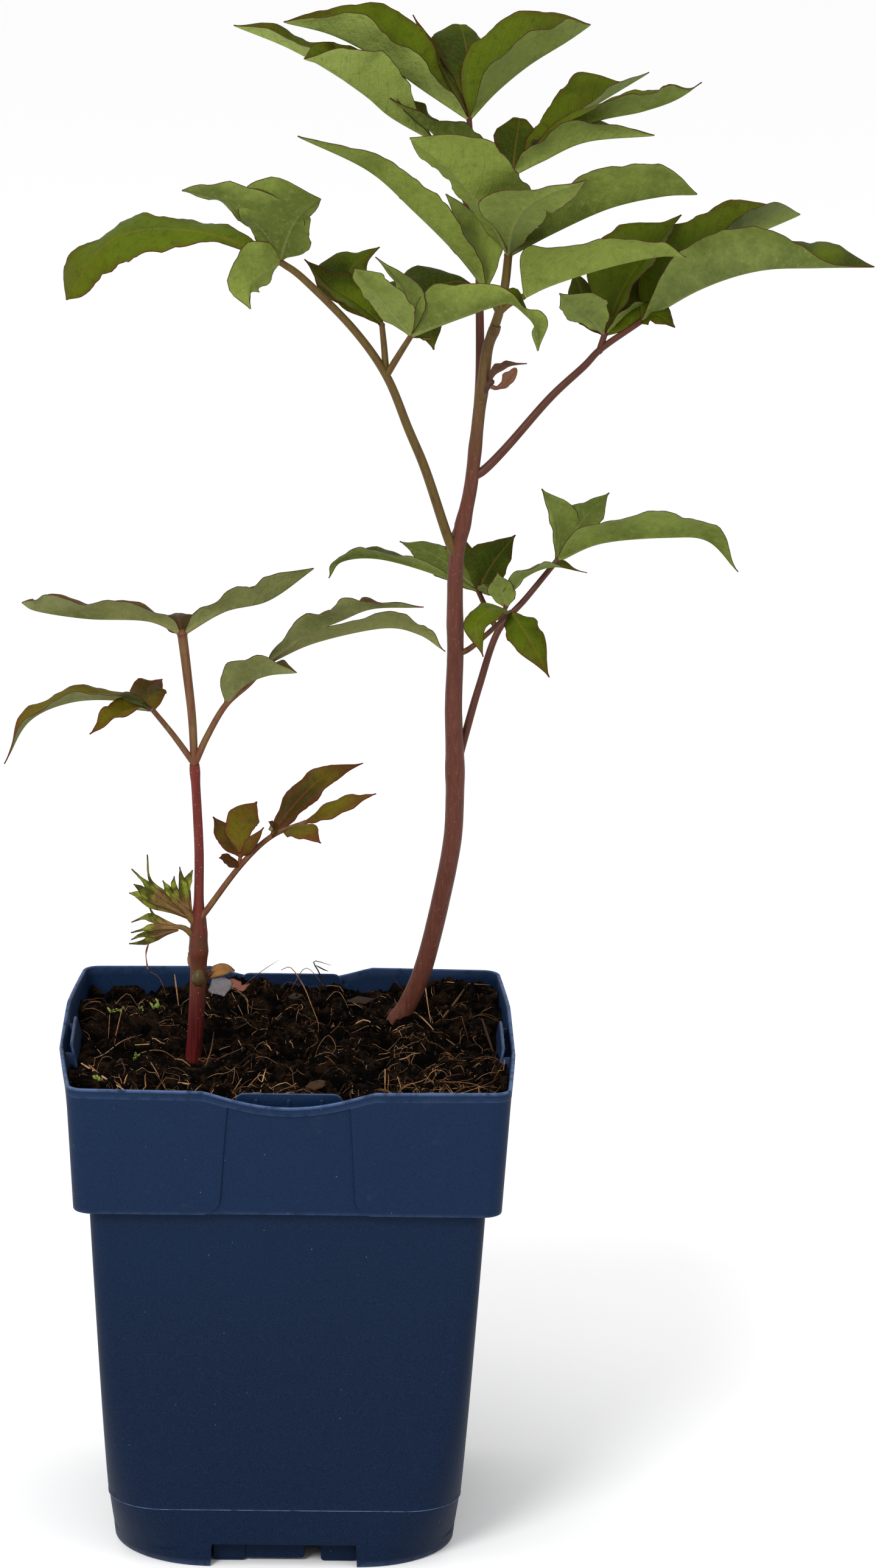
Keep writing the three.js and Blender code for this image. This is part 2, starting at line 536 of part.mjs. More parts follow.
const LEAVES = {
  leaf_top: {
    stalks: [
      stalk([[70, 20, 446], [71, 32, 469], [69, 42, 505], [65, 48, 553]], 3.4, 2.2),
      stalk([[69, 42, 505], [62, 43, 525], [51, 40, 546]], 2.4, 1.8),
      stalk([[69, 42, 505], [75, 41, 520], [82, 39, 533]], 2.4, 1.8),
    ],
    leaflets: [
      leaflet([[65, 48, 553], [47, 44, 565], [31, 42, 576], [12, 38, 586], [-7, 34, 591]], 40, [0, -0.35, 1], 54, { cup: -18 }),
      leaflet([[51, 40, 546], [34, 37, 557], [17, 35, 569], [-4, 33, 581], [-26, 29, 590]], 27, [0, -0.25, 1], 48, { wave: 1.2 }),
      leaflet([[51, 40, 546], [37, 25, 556], [22, 18, 568], [1, 10, 579]], 22, [0, 0.7, 1], 35, { twist: -75, wave: 1.2 }),
      leaflet([[65, 48, 553], [59, 60, 567], [54, 72, 577], [51, 84, 585]], 30, [0.3, -1, 0.4], 15, { cup: -20, peak: 0.66 }),
      leaflet([[65, 48, 553], [56, 60, 568], [44, 72, 588]], 9, [0.2, -1, 0.5], 20, { wave: 0.3 }),
      leaflet([[65, 48, 553], [75, 54, 563], [88, 60, 573], [103, 64, 582], [112, 66, 588]], 42, [-0.6, -0.45, 0.8], 52, { cup: -15, peak: 0.5 }),
      leaflet([[65, 48, 553], [58, 30, 550], [48, 16, 557], [34, 6, 566]], 23, [0, 0.5, 1], 30, { twist: -45 }),
      leaflet([[82, 39, 533], [83, 49, 541], [85, 59, 552]], 14.5, [0, -1, 0.3], 15, { wave: 0.5 }),
      leaflet([[82, 39, 533], [93, 36, 539], [110, 34, 547], [136, 31, 550]], 22, [0, 0.3, 1], 45),
      leaflet([[82, 39, 533], [94, 54, 545], [112, 68, 555], [136, 80, 568]], 33, [-0.55, -0.45, 0.8], 50, { cup: -15, peak: 0.6 }),
      leaflet([[82, 39, 533], [108, 47, 552], [132, 50, 560], [155, 52, 568]], 20, [0, 0.1, 1], 40),
    ],
  },
  leaf_crown: {
    stalks: [
      stalk([[75, 16, 476], [77, 14.5, 483], [79, 12, 494], [80, 10, 506]], 3.6, 3.2),
      stalk([[77, 14.5, 483], [74.5, 11, 488], [72, 8, 493]], 2.8, 2.4),
      stalk([[77, 14.5, 483], [81, 12, 487], [86, 10, 490]], 2.8, 2.4),
    ],
    leaflets: [
      leaflet([[80, 10, 506], [71, -5, 524], [58, -18, 541], [41, -30, 556]], 40, [0.3, 0.8, 0.7], 15, { cup: -25, peak: 0.55 }),
      leaflet([[80, 10, 506], [81, -8, 520], [88, -24, 532], [107, -36, 542]], 28, [0, 0.9, 0.5], 10, { cup: -20, peak: 0.68 }),
      leaflet([[80, 10, 506], [97, 6, 516], [118, 4, 527], [138, 2, 533], [151, 0, 532]], 38, [0, 0.4, 1], 52, { wave: 0.6 }),
      leaflet([[72, 8, 493], [60, 4, 508], [44, 0, 524], [26, -4, 540], [-1, -8, 553]], 28, [0.2, 0.4, 1], 48, { wave: 0.6 }),
      leaflet([[72, 8, 493], [69, 14, 504], [64, 20, 514], [56, 25, 527]], 17, [0, 0.8, 1], 20, { twist: -20 }),
      leaflet([[86, 10, 490], [97, 6, 496], [118, 0, 504], [137, -5, 509], [147, -8, 509]], 27, [0, 0.45, 1], 48, { peak: 0.4 }),
    ],
  },
  leaf_right: {
    stalks: [
      stalk([[69, 22, 420], [72, 22.5, 420], [82, 26, 429], [98, 31, 447], [111, 34, 459], [118, 36, 466], [133, 40, 476]], 3.4, 2.4),
      stalk([[117, 35.7, 465], [118, 37, 468], [119, 38, 471]], 2.6, 2.4),
    ],
    leaflets: [
      leaflet([[119, 38, 471], [127, 46, 489], [138, 54, 503], [149, 60, 515]], 34, [-0.6, -0.6, 0.6], 42, { cup: -15 }),
      leaflet([[119, 38, 471], [112, 48, 482], [107, 58, 493]], 14, [0, -1, 0.4], 15, { wave: 0.5 }),
      leaflet([[119, 38, 471], [129, 47, 483], [144, 54, 491]], 16, [-0.2, -0.8, 0.6], 15, { wave: 0.5 }),
      leaflet([[119, 38, 471], [111, 27, 481], [100, 13, 491]], 21, [0, 1, 0.6], 10, { cup: -20, peak: 0.6 }),
      leaflet([[119, 38, 471], [129, 42, 480], [138, 46, 483]], 10, [0, 0.4, 1], 35, { wave: 0.4 }),
      leaflet([[133, 40, 476], [139, 37, 479], [146, 33, 475]], 13, [0, -0.5, 1], 25, { wave: 0.6 }),
      leaflet([[133, 40, 476], [156, 38, 490], [178, 34, 498], [201, 30, 500], [222, 26, 501]], 38, [0, 0.4, 1], 50, { wave: 1.2, cup: -30 }),
      leaflet([[133, 40, 476], [151, 51, 492], [170, 60, 504], [196, 66, 515]], 36, [-0.4, -0.5, 0.8], 48, { cup: -15, twist: 30 }),
    ],
  },
  leaf_left: {
    stalks: [
      stalk([[63, 25.5, 386], [59, 24, 393], [50, 18, 420], [43, 14, 437], [34, 8, 459], [21, 2, 478], [2, -5, 498], [-7, -8, 505]], 4, 2.6),
      stalk([[34, 8, 459], [33, 7, 470], [32, 6, 479]], 2.8, 2.2),
      stalk([[34, 8, 459], [39, 1, 469], [43, -6, 477]], 2.8, 2.2),
    ],
    leaflets: [
      leaflet([[-7, -8, 505], [-19, -18, 522], [-44, -30, 536]], 26, [0.2, 0.9, 0.8], 10),
      leaflet([[-7, -8, 505], [-9, -20, 522], [-8, -33, 541]], 36, [0.1, 0.9, 0.6], 10, { cup: -20, peak: 0.66, wave: 1.2 }),
      leaflet([[-7, -8, 505], [-25, 0, 516], [-42, 6, 519], [-68, 10, 516], [-83, 11, 502], [-90, 12, 484]], 28, [-0.1, -0.6, 1], -8,
        { cup: -10, peak: 0.55, wave: 2 }),
      leaflet([[-7, -8, 505], [-15, -20, 502], [-19, -26, 497], [-18, -28, 489]], 24, [-0.3, 0.9, 0.3], 5, { cup: -10, peak: 0.5 }),
      leaflet([[32, 6, 479], [22, 8, 487], [12, 10, 493], [2, 12, 503]], 20, [0, -0.4, 1], 40, { wave: 0.6 }),
      leaflet([[32, 6, 479], [21, 15, 492], [20, 24, 501], [32, 32, 507]], 20, [0, -0.9, 1], 15),
      leaflet([[43, -6, 477], [35, -15, 488], [27, -26, 499], [20, -34, 506]], 22, [0.2, 0.8, 0.9], 10, { cup: -20, wave: 0.6 }),
      leaflet([[43, -6, 477], [38, -7, 492], [34, -6, 501], [29, -4, 507]], 11, [0.4, 0.6, 0.6], 20, { wave: 0.4 }),
      leaflet([[43, -6, 477], [46, 3, 491], [52, 11, 500], [62, 19, 497]], 20, [-0.2, -0.9, 1], 10),
      leaflet([[43, -6, 477], [60, -12, 485], [77, -15, 488], [88, -16, 485], [93, -18, 473]], 26, [0, 0.45, 1], 45, { cup: -25, twist: 40 }),
      leaflet([[43, -6, 477], [49, 2, 480], [51, 4, 473]], 11, [0, -1, 0.3], 10, { wave: 0.3 }),
    ],
  },
  leaf_low: {
    stalks: [
      stalk([[64, 33, 297], [68, 36, 312], [73, 39, 330], [80, 43, 351], [91, 46, 364], [103, 48, 379]], 3.4, 2.2),
      stalk([[80, 43, 351], [76, 47, 358], [72, 50, 366]], 2.4, 2),
      stalk([[80, 43, 351], [81.5, 43.5, 357], [83, 43.5, 361]], 2.2, 1.8),
    ],
    leaflets: [
      leaflet([[103, 48, 379], [103, 58, 392], [97, 66, 404]], 15, [0.4, -0.9, 0.5], 15, { cup: -20, peak: 0.5, wave: 0.4 }),
      leaflet([[103, 48, 379], [112, 60, 391], [124, 70, 402]], 16, [-0.4, -0.9, 0.5], 15, { cup: -20, peak: 0.5, wave: 0.4 }),
      leaflet([[103, 48, 379], [120, 46, 387], [146, 44, 390], [162, 42, 389], [174, 40, 377]], 28, [0, 0.3, 1], 45, { wave: 1.1 }),
      leaflet([[83, 43.5, 361], [88, 41, 372], [100, 36, 379], [114, 30, 378]], 14, [0, 0.1, 1], 35),
      leaflet([[83, 43.5, 361], [81, 39, 369], [79, 33, 377]], 11, [0, 0.8, 1], 15, { wave: 0.5 }),
      leaflet([[72, 50, 366], [52, 54, 373], [32, 58, 377], [18, 60, 375], [13, 60, 368]], 17, [0, 0.2, 1], 42),
      leaflet([[72, 50, 366], [56, 60, 377], [41, 66, 382]], 15, [0, -0.6, 1], 15, { wave: 0.6 }),
      leaflet([[72, 50, 366], [67, 62, 378], [70, 70, 389]], 12, [0, -1, 0.4], 15, { wave: 0.6 }),
      leaflet([[72, 50, 366], [78, 59, 375], [87, 67, 385]], 15, [0, -1, 0.6], 12, { wave: 0.6 }),
      leaflet([[72, 50, 366], [78, 44, 368], [82, 38, 371]], 11, [0, 0.9, 0.7], 10, { wave: 0.5 }),
    ],
  },
  leaf_small: {
    stalks: [stalk([[63, 29, 345], [68, 28, 347], [76, 24, 355], [84, 20, 364]], 2.6, 1.8)],
    leaflets: [
      leaflet([[84, 20, 364], [77, 12, 367], [70, 4, 362], [73, -2, 351]], 14, [-0.2, -0.6, 1], 15, { wave: 0.6 }),
      leaflet([[84, 20, 364], [90, 12, 357], [99, 3, 342]], 15, [0.3, -1, 0.6], 10),
    ],
  },
  shoot_leaf_top: {
    colour: COLOURS.young,
    stalks: [
      stalk([[-38, -19, 310], [-39, -20, 329], [-41, -21, 347], [-43, -22, 363]], 3.6, 2.6),
      stalk([[-38, -19, 311], [-33, -21, 323], [-26, -24, 336], [-17, -26, 345], [-10, -28, 354]], 2.8, 2),
      stalk([[-38, -19, 311], [-46, -22, 323], [-54, -26, 334]], 2.6, 2),
    ],
    leaflets: [
      leaflet([[-43, -22, 363], [-56, -24, 369], [-79, -26, 370], [-98, -28, 373], [-104, -28, 376]], 22, [0, 0.2, 1], 46, { wave: 1.6 }),
      leaflet([[-43, -22, 363], [-45, -10, 369], [-47, 4, 371]], 14, [0, -1, 1], 10, { wave: 0.6 }),
      leaflet([[-43, -22, 363], [-27, -24, 373], [-10, -26, 378], [7, -29, 391]], 21, [0, 0.25, 1], 46, { wave: 1.3 }),
      leaflet([[-26, -24, 336], [-18, -36, 346], [-9, -46, 352], [2, -54, 356]], 20, [0, 0.3, 1], 30),
      leaflet([[-10, -28, 354], [4, -30, 365], [18, -32, 372], [30, -34, 377], [49, -36, 378]], 22, [0, 0.25, 1], 46, { wave: 1.6 }),
      leaflet([[-10, -28, 354], [8, -22, 361], [34, -18, 366], [48, -16, 363], [58, -15, 356]], 20, [0, 0.35, 1], 44, { wave: 1 }),
      leaflet([[-54, -26, 334], [-66, -30, 339], [-85, -34, 339], [-101, -38, 332], [-110, -42, 316]], 18, [0, 0.1, 1], 42, { wave: 1.1 }),
      leaflet([[-54, -26, 334], [-65, -40, 337], [-77, -54, 331]], 13, [0, -0.2, 1], 35),
      leaflet([[-54, -26, 334], [-56, -14, 339], [-51, -4, 341]], 14, [0, -0.7, 1], 20),
    ],
  },
  shoot_leaf_low: {
    colour: COLOURS.young,
    stalks: [
      stalk([[-36, -16, 248], [-33, -17, 252], [-20, -20, 271], [-8, -24, 284], [5, -25, 290]], 3, 1.8),
      stalk([[-20.5, -19.9, 270.5], [-20, -20, 275]], 1.8, 1.5),
    ],
    leaflets: [
      leaflet([[-20, -20, 275], [-25, -12, 281], [-31, -3, 286]], 10, [0.2, -1, 0.5], 12, { wave: 0.4 }),
      leaflet([[-20, -20, 275], [-20, -9, 285], [-14, 2, 291]], 13, [-0.2, -1, 0.4], 12, { cup: -20, peak: 0.55, wave: 0.5 }),
      leaflet([[-20, -20, 271], [-25, -26, 275], [-28, -31, 277]], 5, [0, -1, 0.6], 12, { wave: 0.3 }),
      leaflet([[-20, -20, 275], [-16, -25, 281], [-11, -30, 289]], 5, [0, -1, 0.6], 12, { wave: 0.3 }),
      leaflet([[-8, -24, 284], [1, -20, 296], [12, -17, 306], [27, -14, 311]], 11, [-0.5, -0.9, 0.5], 25, { twist: 20 }),
      leaflet([[5, -25, 290], [18, -30, 298], [32, -34, 304]], 9, [-0.2, -0.7, 1], 15, { wave: 0.6 }),
      leaflet([[-3, -24.7, 287], [4, -36, 290], [11, -45, 287]], 11, [0.2, -0.8, 0.8], 10, { wave: 0.5 }),
      leaflet([[-8, -24, 284], [-7, -33, 290], [-9, -40, 294]], 4.5, [0, -1, 0.6], 12, { wave: 0.3 }),
    ],
  },
  sprout_upper: {
    colour: COLOURS.young,
    stalks: [
      stalk([[-36, -15.5, 246], [-40, -16, 251], [-45, -17, 255]], 3.4, 2.8),
      stalk([[-36, -15.5, 248], [-39, -13, 253], [-42, -11, 257]], 3, 2.4),
    ],
    leaflets: [
      leaflet([[-43, -16.6, 253], [-50, -18, 258], [-55, -19, 265], [-56, -20, 275]], 5.5, [0.5, -1, 0.5], 20, { wave: 0.3 }),
      leaflet([[-43, -16.6, 253], [-52, -19, 257], [-58, -21, 263], [-62, -22, 270]], 5.5, [0.4, -1, 0.6], 20, { wave: 0.3 }),
      leaflet([[-43, -16.6, 253], [-51, -16, 254], [-57, -15, 257], [-63, -14, 262]], 7, [0, -1, 0.6], 25, { wave: 0.3 }),
      leaflet([[-42, -11, 257], [-45, -8, 262], [-43, -5, 269]], 6, [0, -1, 0.5], 15, { wave: 0.3 }),
      leaflet([[-42, -11, 257], [-42, -6, 262], [-39, -2, 268]], 5, [-0.3, -1, 0.5], 15, { wave: 0.3 }),
      leaflet([[-42, -11, 257], [-47, -9, 260], [-50, -8, 264]], 5, [0.3, -1, 0.5], 15, { wave: 0.3 }),
    ],
  },
  sprout_side: {
    colour: COLOURS.young,
    stalks: [stalk([[-36, -15, 238], [-41, -17, 243], [-48, -20, 246]], 2.6, 2.6)],
    leaflets: [
      leaflet([[-48, -20, 246], [-52, -20, 249], [-56, -20, 254]], 4.5, [0.3, -1, 0.6], 20, { wave: 0.3 }),
      leaflet([[-48, -20, 246], [-54, -22, 249], [-61, -23, 249]], 5, [0, -1, 0.6], 20, { wave: 0.3 }),
      leaflet([[-48, -20, 246], [-55, -24, 245], [-62, -26, 244]], 5, [0, -1, 0.6], 20, { wave: 0.3 }),
      leaflet([[-48, -20, 246], [-54, -21, 241], [-62, -21, 239]], 5.5, [0, -1, 0.8], 20, { wave: 0.3 }),
    ],
  },
  bud_dried: {
    colour: COLOURS.bract,
    stalks: [stalk([[71.5, 18.5, 452], [74, 15, 453.5], [77, 13, 455]], 2, 1.8)],
    leaflets: [
      leaflet([[77, 13, 455], [80, 12, 459], [84, 11, 462], [89, 9, 464]], 7, [-0.4, -1, 0.5], 30, { wave: 0.4, twist: 30 }),
      leaflet([[77, 13, 455], [81, 12, 454], [85, 12, 457], [86, 11, 462]], 5, [0, -1, 0.6], 25, { wave: 0.4 }),
    ],
  },
};

// Bud scales at the foot of the short stem: a swollen bud with papery scales round it.
const BUD_SCALES = {
  colour: COLOURS.bract,
  stalks: [stalk([[-32, -10, 201], [-29, -8, 208], [-27, -7, 214]], 5, 4)],
  leaflets: [
    leaflet([[-27, -7, 214], [-24, -8, 220], [-18, -8, 222], [-14, -7, 218]], 10, [-0.4, -0.5, 1], 20, { cup: -60, peak: 0.55, wave: 0.4 }),
    leaflet([[-27, -7, 212], [-22, -10, 213], [-17, -12, 211], [-11, -12, 207]], 9, [0, -0.9, 1], 15, { cup: -50, wave: 0.5 }),
    leaflet([[-30, -9, 206], [-30, -13, 213], [-31, -14, 221]], 8, [0.2, -1, 0.3], 15, { cup: -40, wave: 0.3 }),
  ],
};

// Assembly

const holes = [stemSolid(TALL_STEM, GAP), stemSolid(SHORT_STEM, GAP)];
const plant = new THREE.Group();
plant.add(makePot());
plant.add(makeSoil(holes));
plant.add(toMesh("stem_tall", stemSolid(TALL_STEM), COLOURS.stem, 0.5));
plant.add(toMesh("stem_short", stemSolid(SHORT_STEM), COLOURS.shoot, 0.5));
for (const [name, leaf] of Object.entries(LEAVES)) plant.add(makeLeaf(name, leaf, holes));
plant.add(makeLeaf("bud_scales", BUD_SCALES, holes));

export default plant;
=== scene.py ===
import math

import bmesh
import bpy
import numpy as np
from bpy.props import FloatProperty, FloatVectorProperty, IntProperty, PointerProperty
from mathutils import Matrix, Vector
from mathutils.geometry import tessellate_polygon


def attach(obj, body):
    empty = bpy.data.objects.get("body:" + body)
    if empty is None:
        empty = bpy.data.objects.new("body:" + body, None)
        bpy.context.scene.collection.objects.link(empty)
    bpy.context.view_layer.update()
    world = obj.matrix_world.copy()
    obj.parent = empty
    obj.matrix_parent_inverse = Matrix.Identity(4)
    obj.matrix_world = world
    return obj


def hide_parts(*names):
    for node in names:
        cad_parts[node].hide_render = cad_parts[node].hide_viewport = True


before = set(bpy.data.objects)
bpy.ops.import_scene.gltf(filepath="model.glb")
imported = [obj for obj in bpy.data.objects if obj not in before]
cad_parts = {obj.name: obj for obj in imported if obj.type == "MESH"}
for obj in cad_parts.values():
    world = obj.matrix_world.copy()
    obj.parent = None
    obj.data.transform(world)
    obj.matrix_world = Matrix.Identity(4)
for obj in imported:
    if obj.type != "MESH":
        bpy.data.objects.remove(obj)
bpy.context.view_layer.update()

bl_info = {
    "name": "Potted peony",
    "version": (1, 0, 0),
    "blender": (4, 5, 0),
    "location": "View3D > Sidebar > Peony",
    "description": "Builds a young peony in a square nursery pot round its packed solids",
    "category": "Object",
}

MM = 0.001
FULL_TURN = 2 * math.pi
# Edges sharper than these angles are kept sharp
SHARP_EDGE = 38
STEM_EDGE = 50
LEAF_EDGE = 60

# Curves and surfaces, in millimetres


def spline(points, s):
    """Smooth curve through points, read at each s from 0 to 1."""
    points = np.asarray(points, float)
    if points.ndim == 1:
        points = points[:, None]
    ends = np.vstack([2 * points[0] - points[1], points, 2 * points[-1] - points[-2]])
    t = np.clip(np.asarray(s, float), 0, 1) * (len(points) - 1)
    i = np.minimum(t.astype(int), len(points) - 2)
    t = (t - i)[:, None]
    a, b, c, d = ends[i], ends[i + 1], ends[i + 2], ends[i + 3]
    u, v = (c - a) / 2, (d - b) / 2
    return (2 * b - 2 * c + u + v) * t**3 + (3 * c - 3 * b - 2 * u - v) * t**2 + u * t + b


def unit(vectors):
    return vectors / np.maximum(np.linalg.norm(vectors, axis=-1, keepdims=True), 1e-9)


def along(values, s):
    """A list of numbers from base to tip, read at each s."""
    return spline(values, s)[:, 0]


def length_of(points):
    p = spline(points, np.linspace(0, 1, 40))
    return float(np.linalg.norm(np.diff(p, axis=0), axis=1).sum())


def turns(count):
    """Angles of that many points round a circle."""
    return np.linspace(0, FULL_TURN, count, endpoint=False)


def grid_faces(rows, columns, ring=False):
    i, j = np.meshgrid(np.arange(rows - 1), np.arange(columns if ring else columns - 1), indexing="ij")
    k = (j + 1) % columns
    faces = np.stack([i * columns + j, i * columns + k, (i + 1) * columns + k, (i + 1) * columns + j], -1)
    return faces.reshape(-1, 4)


def ring_faces(rings, count, closed=True):
    """Faces between rings of that many points, with a lid on the first and the last."""
    faces = grid_faces(rings, count, ring=True).tolist()
    if closed:
        faces += [list(range(count)), list(range((rings - 1) * count, rings * count))]
    return faces


def rings_round(path, lean, radius):
    """Rings of points round a path that aren't twisted on the way; radius has a row for each ring."""
    direction = unit(np.gradient(path, axis=0))
    side = unit(np.cross(direction[0], lean))
    angle = turns(radius.shape[1])
    rings = []
    for centre, ahead, reach in zip(path, direction, radius):
        side = unit(side - (side @ ahead) * ahead)
        out, up = (reach * np.cos(angle))[:, None], (reach * np.sin(angle))[:, None]
        rings.append(centre + out * side + up * np.cross(ahead, side))
    return np.vstack(rings)


class Shape:
    """Points, faces, finishes and surface marks of one piece."""

    def __init__(self):
        self.points = []
        self.faces = []
        self.finishes = []
        self.marks = []
        self.count = 0

    def add(self, points, faces, finish=0, **marks):
        """marks give one value, or one row of three, for all of the points or for each."""
        points = np.asarray(points, float).reshape(-1, 3)
        self.faces += [[int(v) + self.count for v in face] for face in faces]
        self.finishes += [finish] * len(faces) if np.isscalar(finish) else finish
        self.marks.append({name: np.atleast_2d(values) for name, values in marks.items()})
        self.points.append(points)
        self.count += len(points)

    def spread(self, mark):
        """That mark's values at all points, 0 where an added part has none."""
        size = next(marks[mark].shape[1] for marks in self.marks if mark in marks)
        return np.vstack([np.broadcast_to(marks.get(mark, np.zeros((1, size))), (len(points), size))
                          for marks, points in zip(self.marks, self.points)])

    def build(self, node, finishes, crease):
        """The Blender piece that stands for a node, with edges sharper than crease kept sharp."""
        mesh = bpy.data.meshes.new(node)
        mesh.from_pydata((np.vstack(self.points) * MM).tolist(), [], self.faces)
        for mark in sorted(set().union(*self.marks)):
            values = self.spread(mark)
            kind, field = ("FLOAT", "value") if values.shape[1] == 1 else ("FLOAT_VECTOR", "vector")
            layer = mesh.attributes.new(mark, kind, "POINT")
            layer.data.foreach_set(field, values.astype(np.float32).ravel())
        for finish in finishes:
            mesh.materials.append(finish)
        mesh.polygons.foreach_set("material_index", np.array(self.finishes, np.int32))
        work = bmesh.new()
        work.from_mesh(mesh)
        bmesh.ops.recalc_face_normals(work, faces=work.faces)
        work.to_mesh(mesh)
        work.free()
        mesh.polygons.foreach_set("use_smooth", np.ones(len(mesh.polygons), bool))
        mesh.set_sharp_from_angle(angle=math.radians(crease))
        mesh.update()
        piece = bpy.data.objects.new(node, mesh)
        bpy.context.scene.collection.objects.link(piece)
        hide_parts(node)
        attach(piece, "root")


# Stalks

TUBE_LEAN = [0.13, 1.0, 0.21]
TUBE_ROWS = (4, 120)
KNOT_ROWS = 7
KNOT_COLUMNS = 10


def add_tube(shape, path, widths, finish, sides, tint, step):
    """Round stalk through the points, with a width list from one end to the other."""
    rows = int(np.clip(length_of(path) / step, *TUBE_ROWS))
    s = np.linspace(0, 1, rows + 1)
    radius = np.repeat(along(widths, s)[:, None] / 2, sides, 1)
    shape.add(rings_round(spline(path, s), TUBE_LEAN, radius), ring_faces(rows + 1, sides), finish, tint=tint)


def add_knot(shape, centre, radius, finish, tint, stretch=(1, 1, 1)):
    """Small round swelling, such as the joint between stalk and leaflets."""
    polar = np.linspace(0, np.pi, KNOT_ROWS)[1:-1]
    turn = turns(KNOT_COLUMNS)
    ring = np.stack([np.outer(np.sin(polar), np.cos(turn)), np.outer(np.sin(polar), np.sin(turn)),
                     np.outer(np.cos(polar), np.ones(KNOT_COLUMNS))], -1).reshape(-1, 3)
    points = np.vstack([ring, [[0, 0, 1], [0, 0, -1]]]) * radius * np.asarray(stretch) + np.asarray(centre)
    faces = ring_faces(KNOT_ROWS - 2, KNOT_COLUMNS, False)
    last = (KNOT_ROWS - 3) * KNOT_COLUMNS
    top, low = len(points) - 2, len(points) - 1
    faces += [[top, (j + 1) % KNOT_COLUMNS, j] for j in range(KNOT_COLUMNS)]
    faces += [[low, last + j, last + (j + 1) % KNOT_COLUMNS] for j in range(KNOT_COLUMNS)]
    shape.add(points, faces, finish, tint=tint)


# Leaf blades

MARGIN_STEPS = np.linspace(0, 1, 61)
BLADE_COLUMNS = [0, 1, 3, 6, 10, 15, 21, 28, 35, 42, 49, 55, 59, 60]
ROW_LENGTH = 1.4
BLADE_ROWS = (12, 80)
BASE_HALF_WIDTH = 1.0
TIP_HALF_WIDTH = 0.25
BLADE_THICKNESS = 0.36
FOLD_REACH = 0.045
VEIN_SPACING = 6.0
LEAST_VEIN_SPACING = 3.2
VEIN_COUNT = 12
QUILT_DEPTH = 0.012
RIDGE = 0.75
CRINKLE = 0.22
WAVES = 3.2
# Waves along a blade: height, length of a wave and how far it shifts from leaflet to leaflet
UNEVEN = ((0.5, 13.0, 1.9), (0.3, 7.3, 3.1), (0.14, 3.1, 5.3))
CRINKLES = ((1.0, 9.0, 2.1), (0.6, 5.2, 3.7))


def leaflet(rib, width, face, fold, **options):
    """rib is the midrib from base to tip, face the way that the upper side looks; fold lifts the
    two halves in degrees, cup bends them again towards the margin, twist turns the blade on its
    way to the tip, wave is the height of the margin's waves and peak where it is widest. shape
    gives the half width from base to tip in shares of the widest. A name that ends in _r is for
    the right half alone. A turned one is pale on both sides, one given a painted glow has its
    underside painted that much paler, as painted light shining through it, and tint is its share
    of the lighter green."""
    usual = {"cup": -35, "twist": 0, "wave": 0.9, "peak": 0.45}
    return {"rib": rib, "width": width, "face": face, "fold": fold, **usual, **options}


def side_value(leaf, key, side):
    return leaf.get(key + "_r", leaf.get(key)) if side > 0 else leaf.get(key)


def half_widths(leaf, side, s):
    shape = side_value(leaf, "shape", side)
    if shape is not None:
        share = np.maximum(along(shape, s), 0)
    else:
        skew = math.log(0.5) / math.log(leaf["peak"])
        share = np.sin(np.pi * s**skew).clip(0) ** (0.85 + 0.5 * s * s)
    least = BASE_HALF_WIDTH + (TIP_HALF_WIDTH - BASE_HALF_WIDTH) * s
    return np.maximum(side_value(leaf, "width", side) / 2 * share, least)


def blade_axes(leaf, s):
    """Midrib points, and the unit vectors up out of the upper side and across to the right."""
    point = spline(leaf["rib"], s)
    step = unit(np.gradient(point, axis=0))
    face = np.asarray(leaf["face"], float)
    up = unit(face - (face * step).sum(1, keepdims=True) * step)
    across = np.cross(step, up)
    turn = np.radians(leaf["twist"] * s)[:, None]
    return point, up * np.cos(turn) + across * np.sin(turn), across * np.cos(turn) - up * np.sin(turn)


def ripple(waves, s, length, turn):
    """Sum of the waves at each s along a blade."""
    return sum(height * np.sin(FULL_TURN * length / wave_length * s + shift * turn)
               for height, wave_length, shift in waves)


def half_blade(leaf, side, s, length, phase):
    """Offsets across and up from the midrib to one margin, and the half widths."""
    width = half_widths(leaf, side, s)
    fold, cup = (math.radians(side_value(leaf, key, side)) for key in ("fold", "cup"))
    m = MARGIN_STEPS
    slope = fold * (1 - np.exp(-m / FOLD_REACH)) + cup * m
    out, lift = (np.cumsum([0, *((part[1:] + part[:-1]) / 2 * np.diff(m))])
                 for part in (np.cos(slope), np.sin(slope)))
    ends = (np.minimum(1, 4 * s) * np.minimum(1, 4 * (1 - s)))[:, None]
    turn = phase + (1.3 if side > 0 else 0)
    swell = side_value(leaf, "wave", side) * np.sin(FULL_TURN * WAVES * s + turn)[:, None]
    crinkle = CRINKLE * m**4 * ripple(CRINKLES, s, length, turn)[:, None] * np.minimum(1, width[:, None] / 6)
    lift = lift * width[:, None] + ends * (m**2 * swell + crinkle)
    width = width + ripple(UNEVEN, s, length, turn) * np.minimum(1, width / 9) * ends[:, 0]
    return out * width[:, None], lift, width


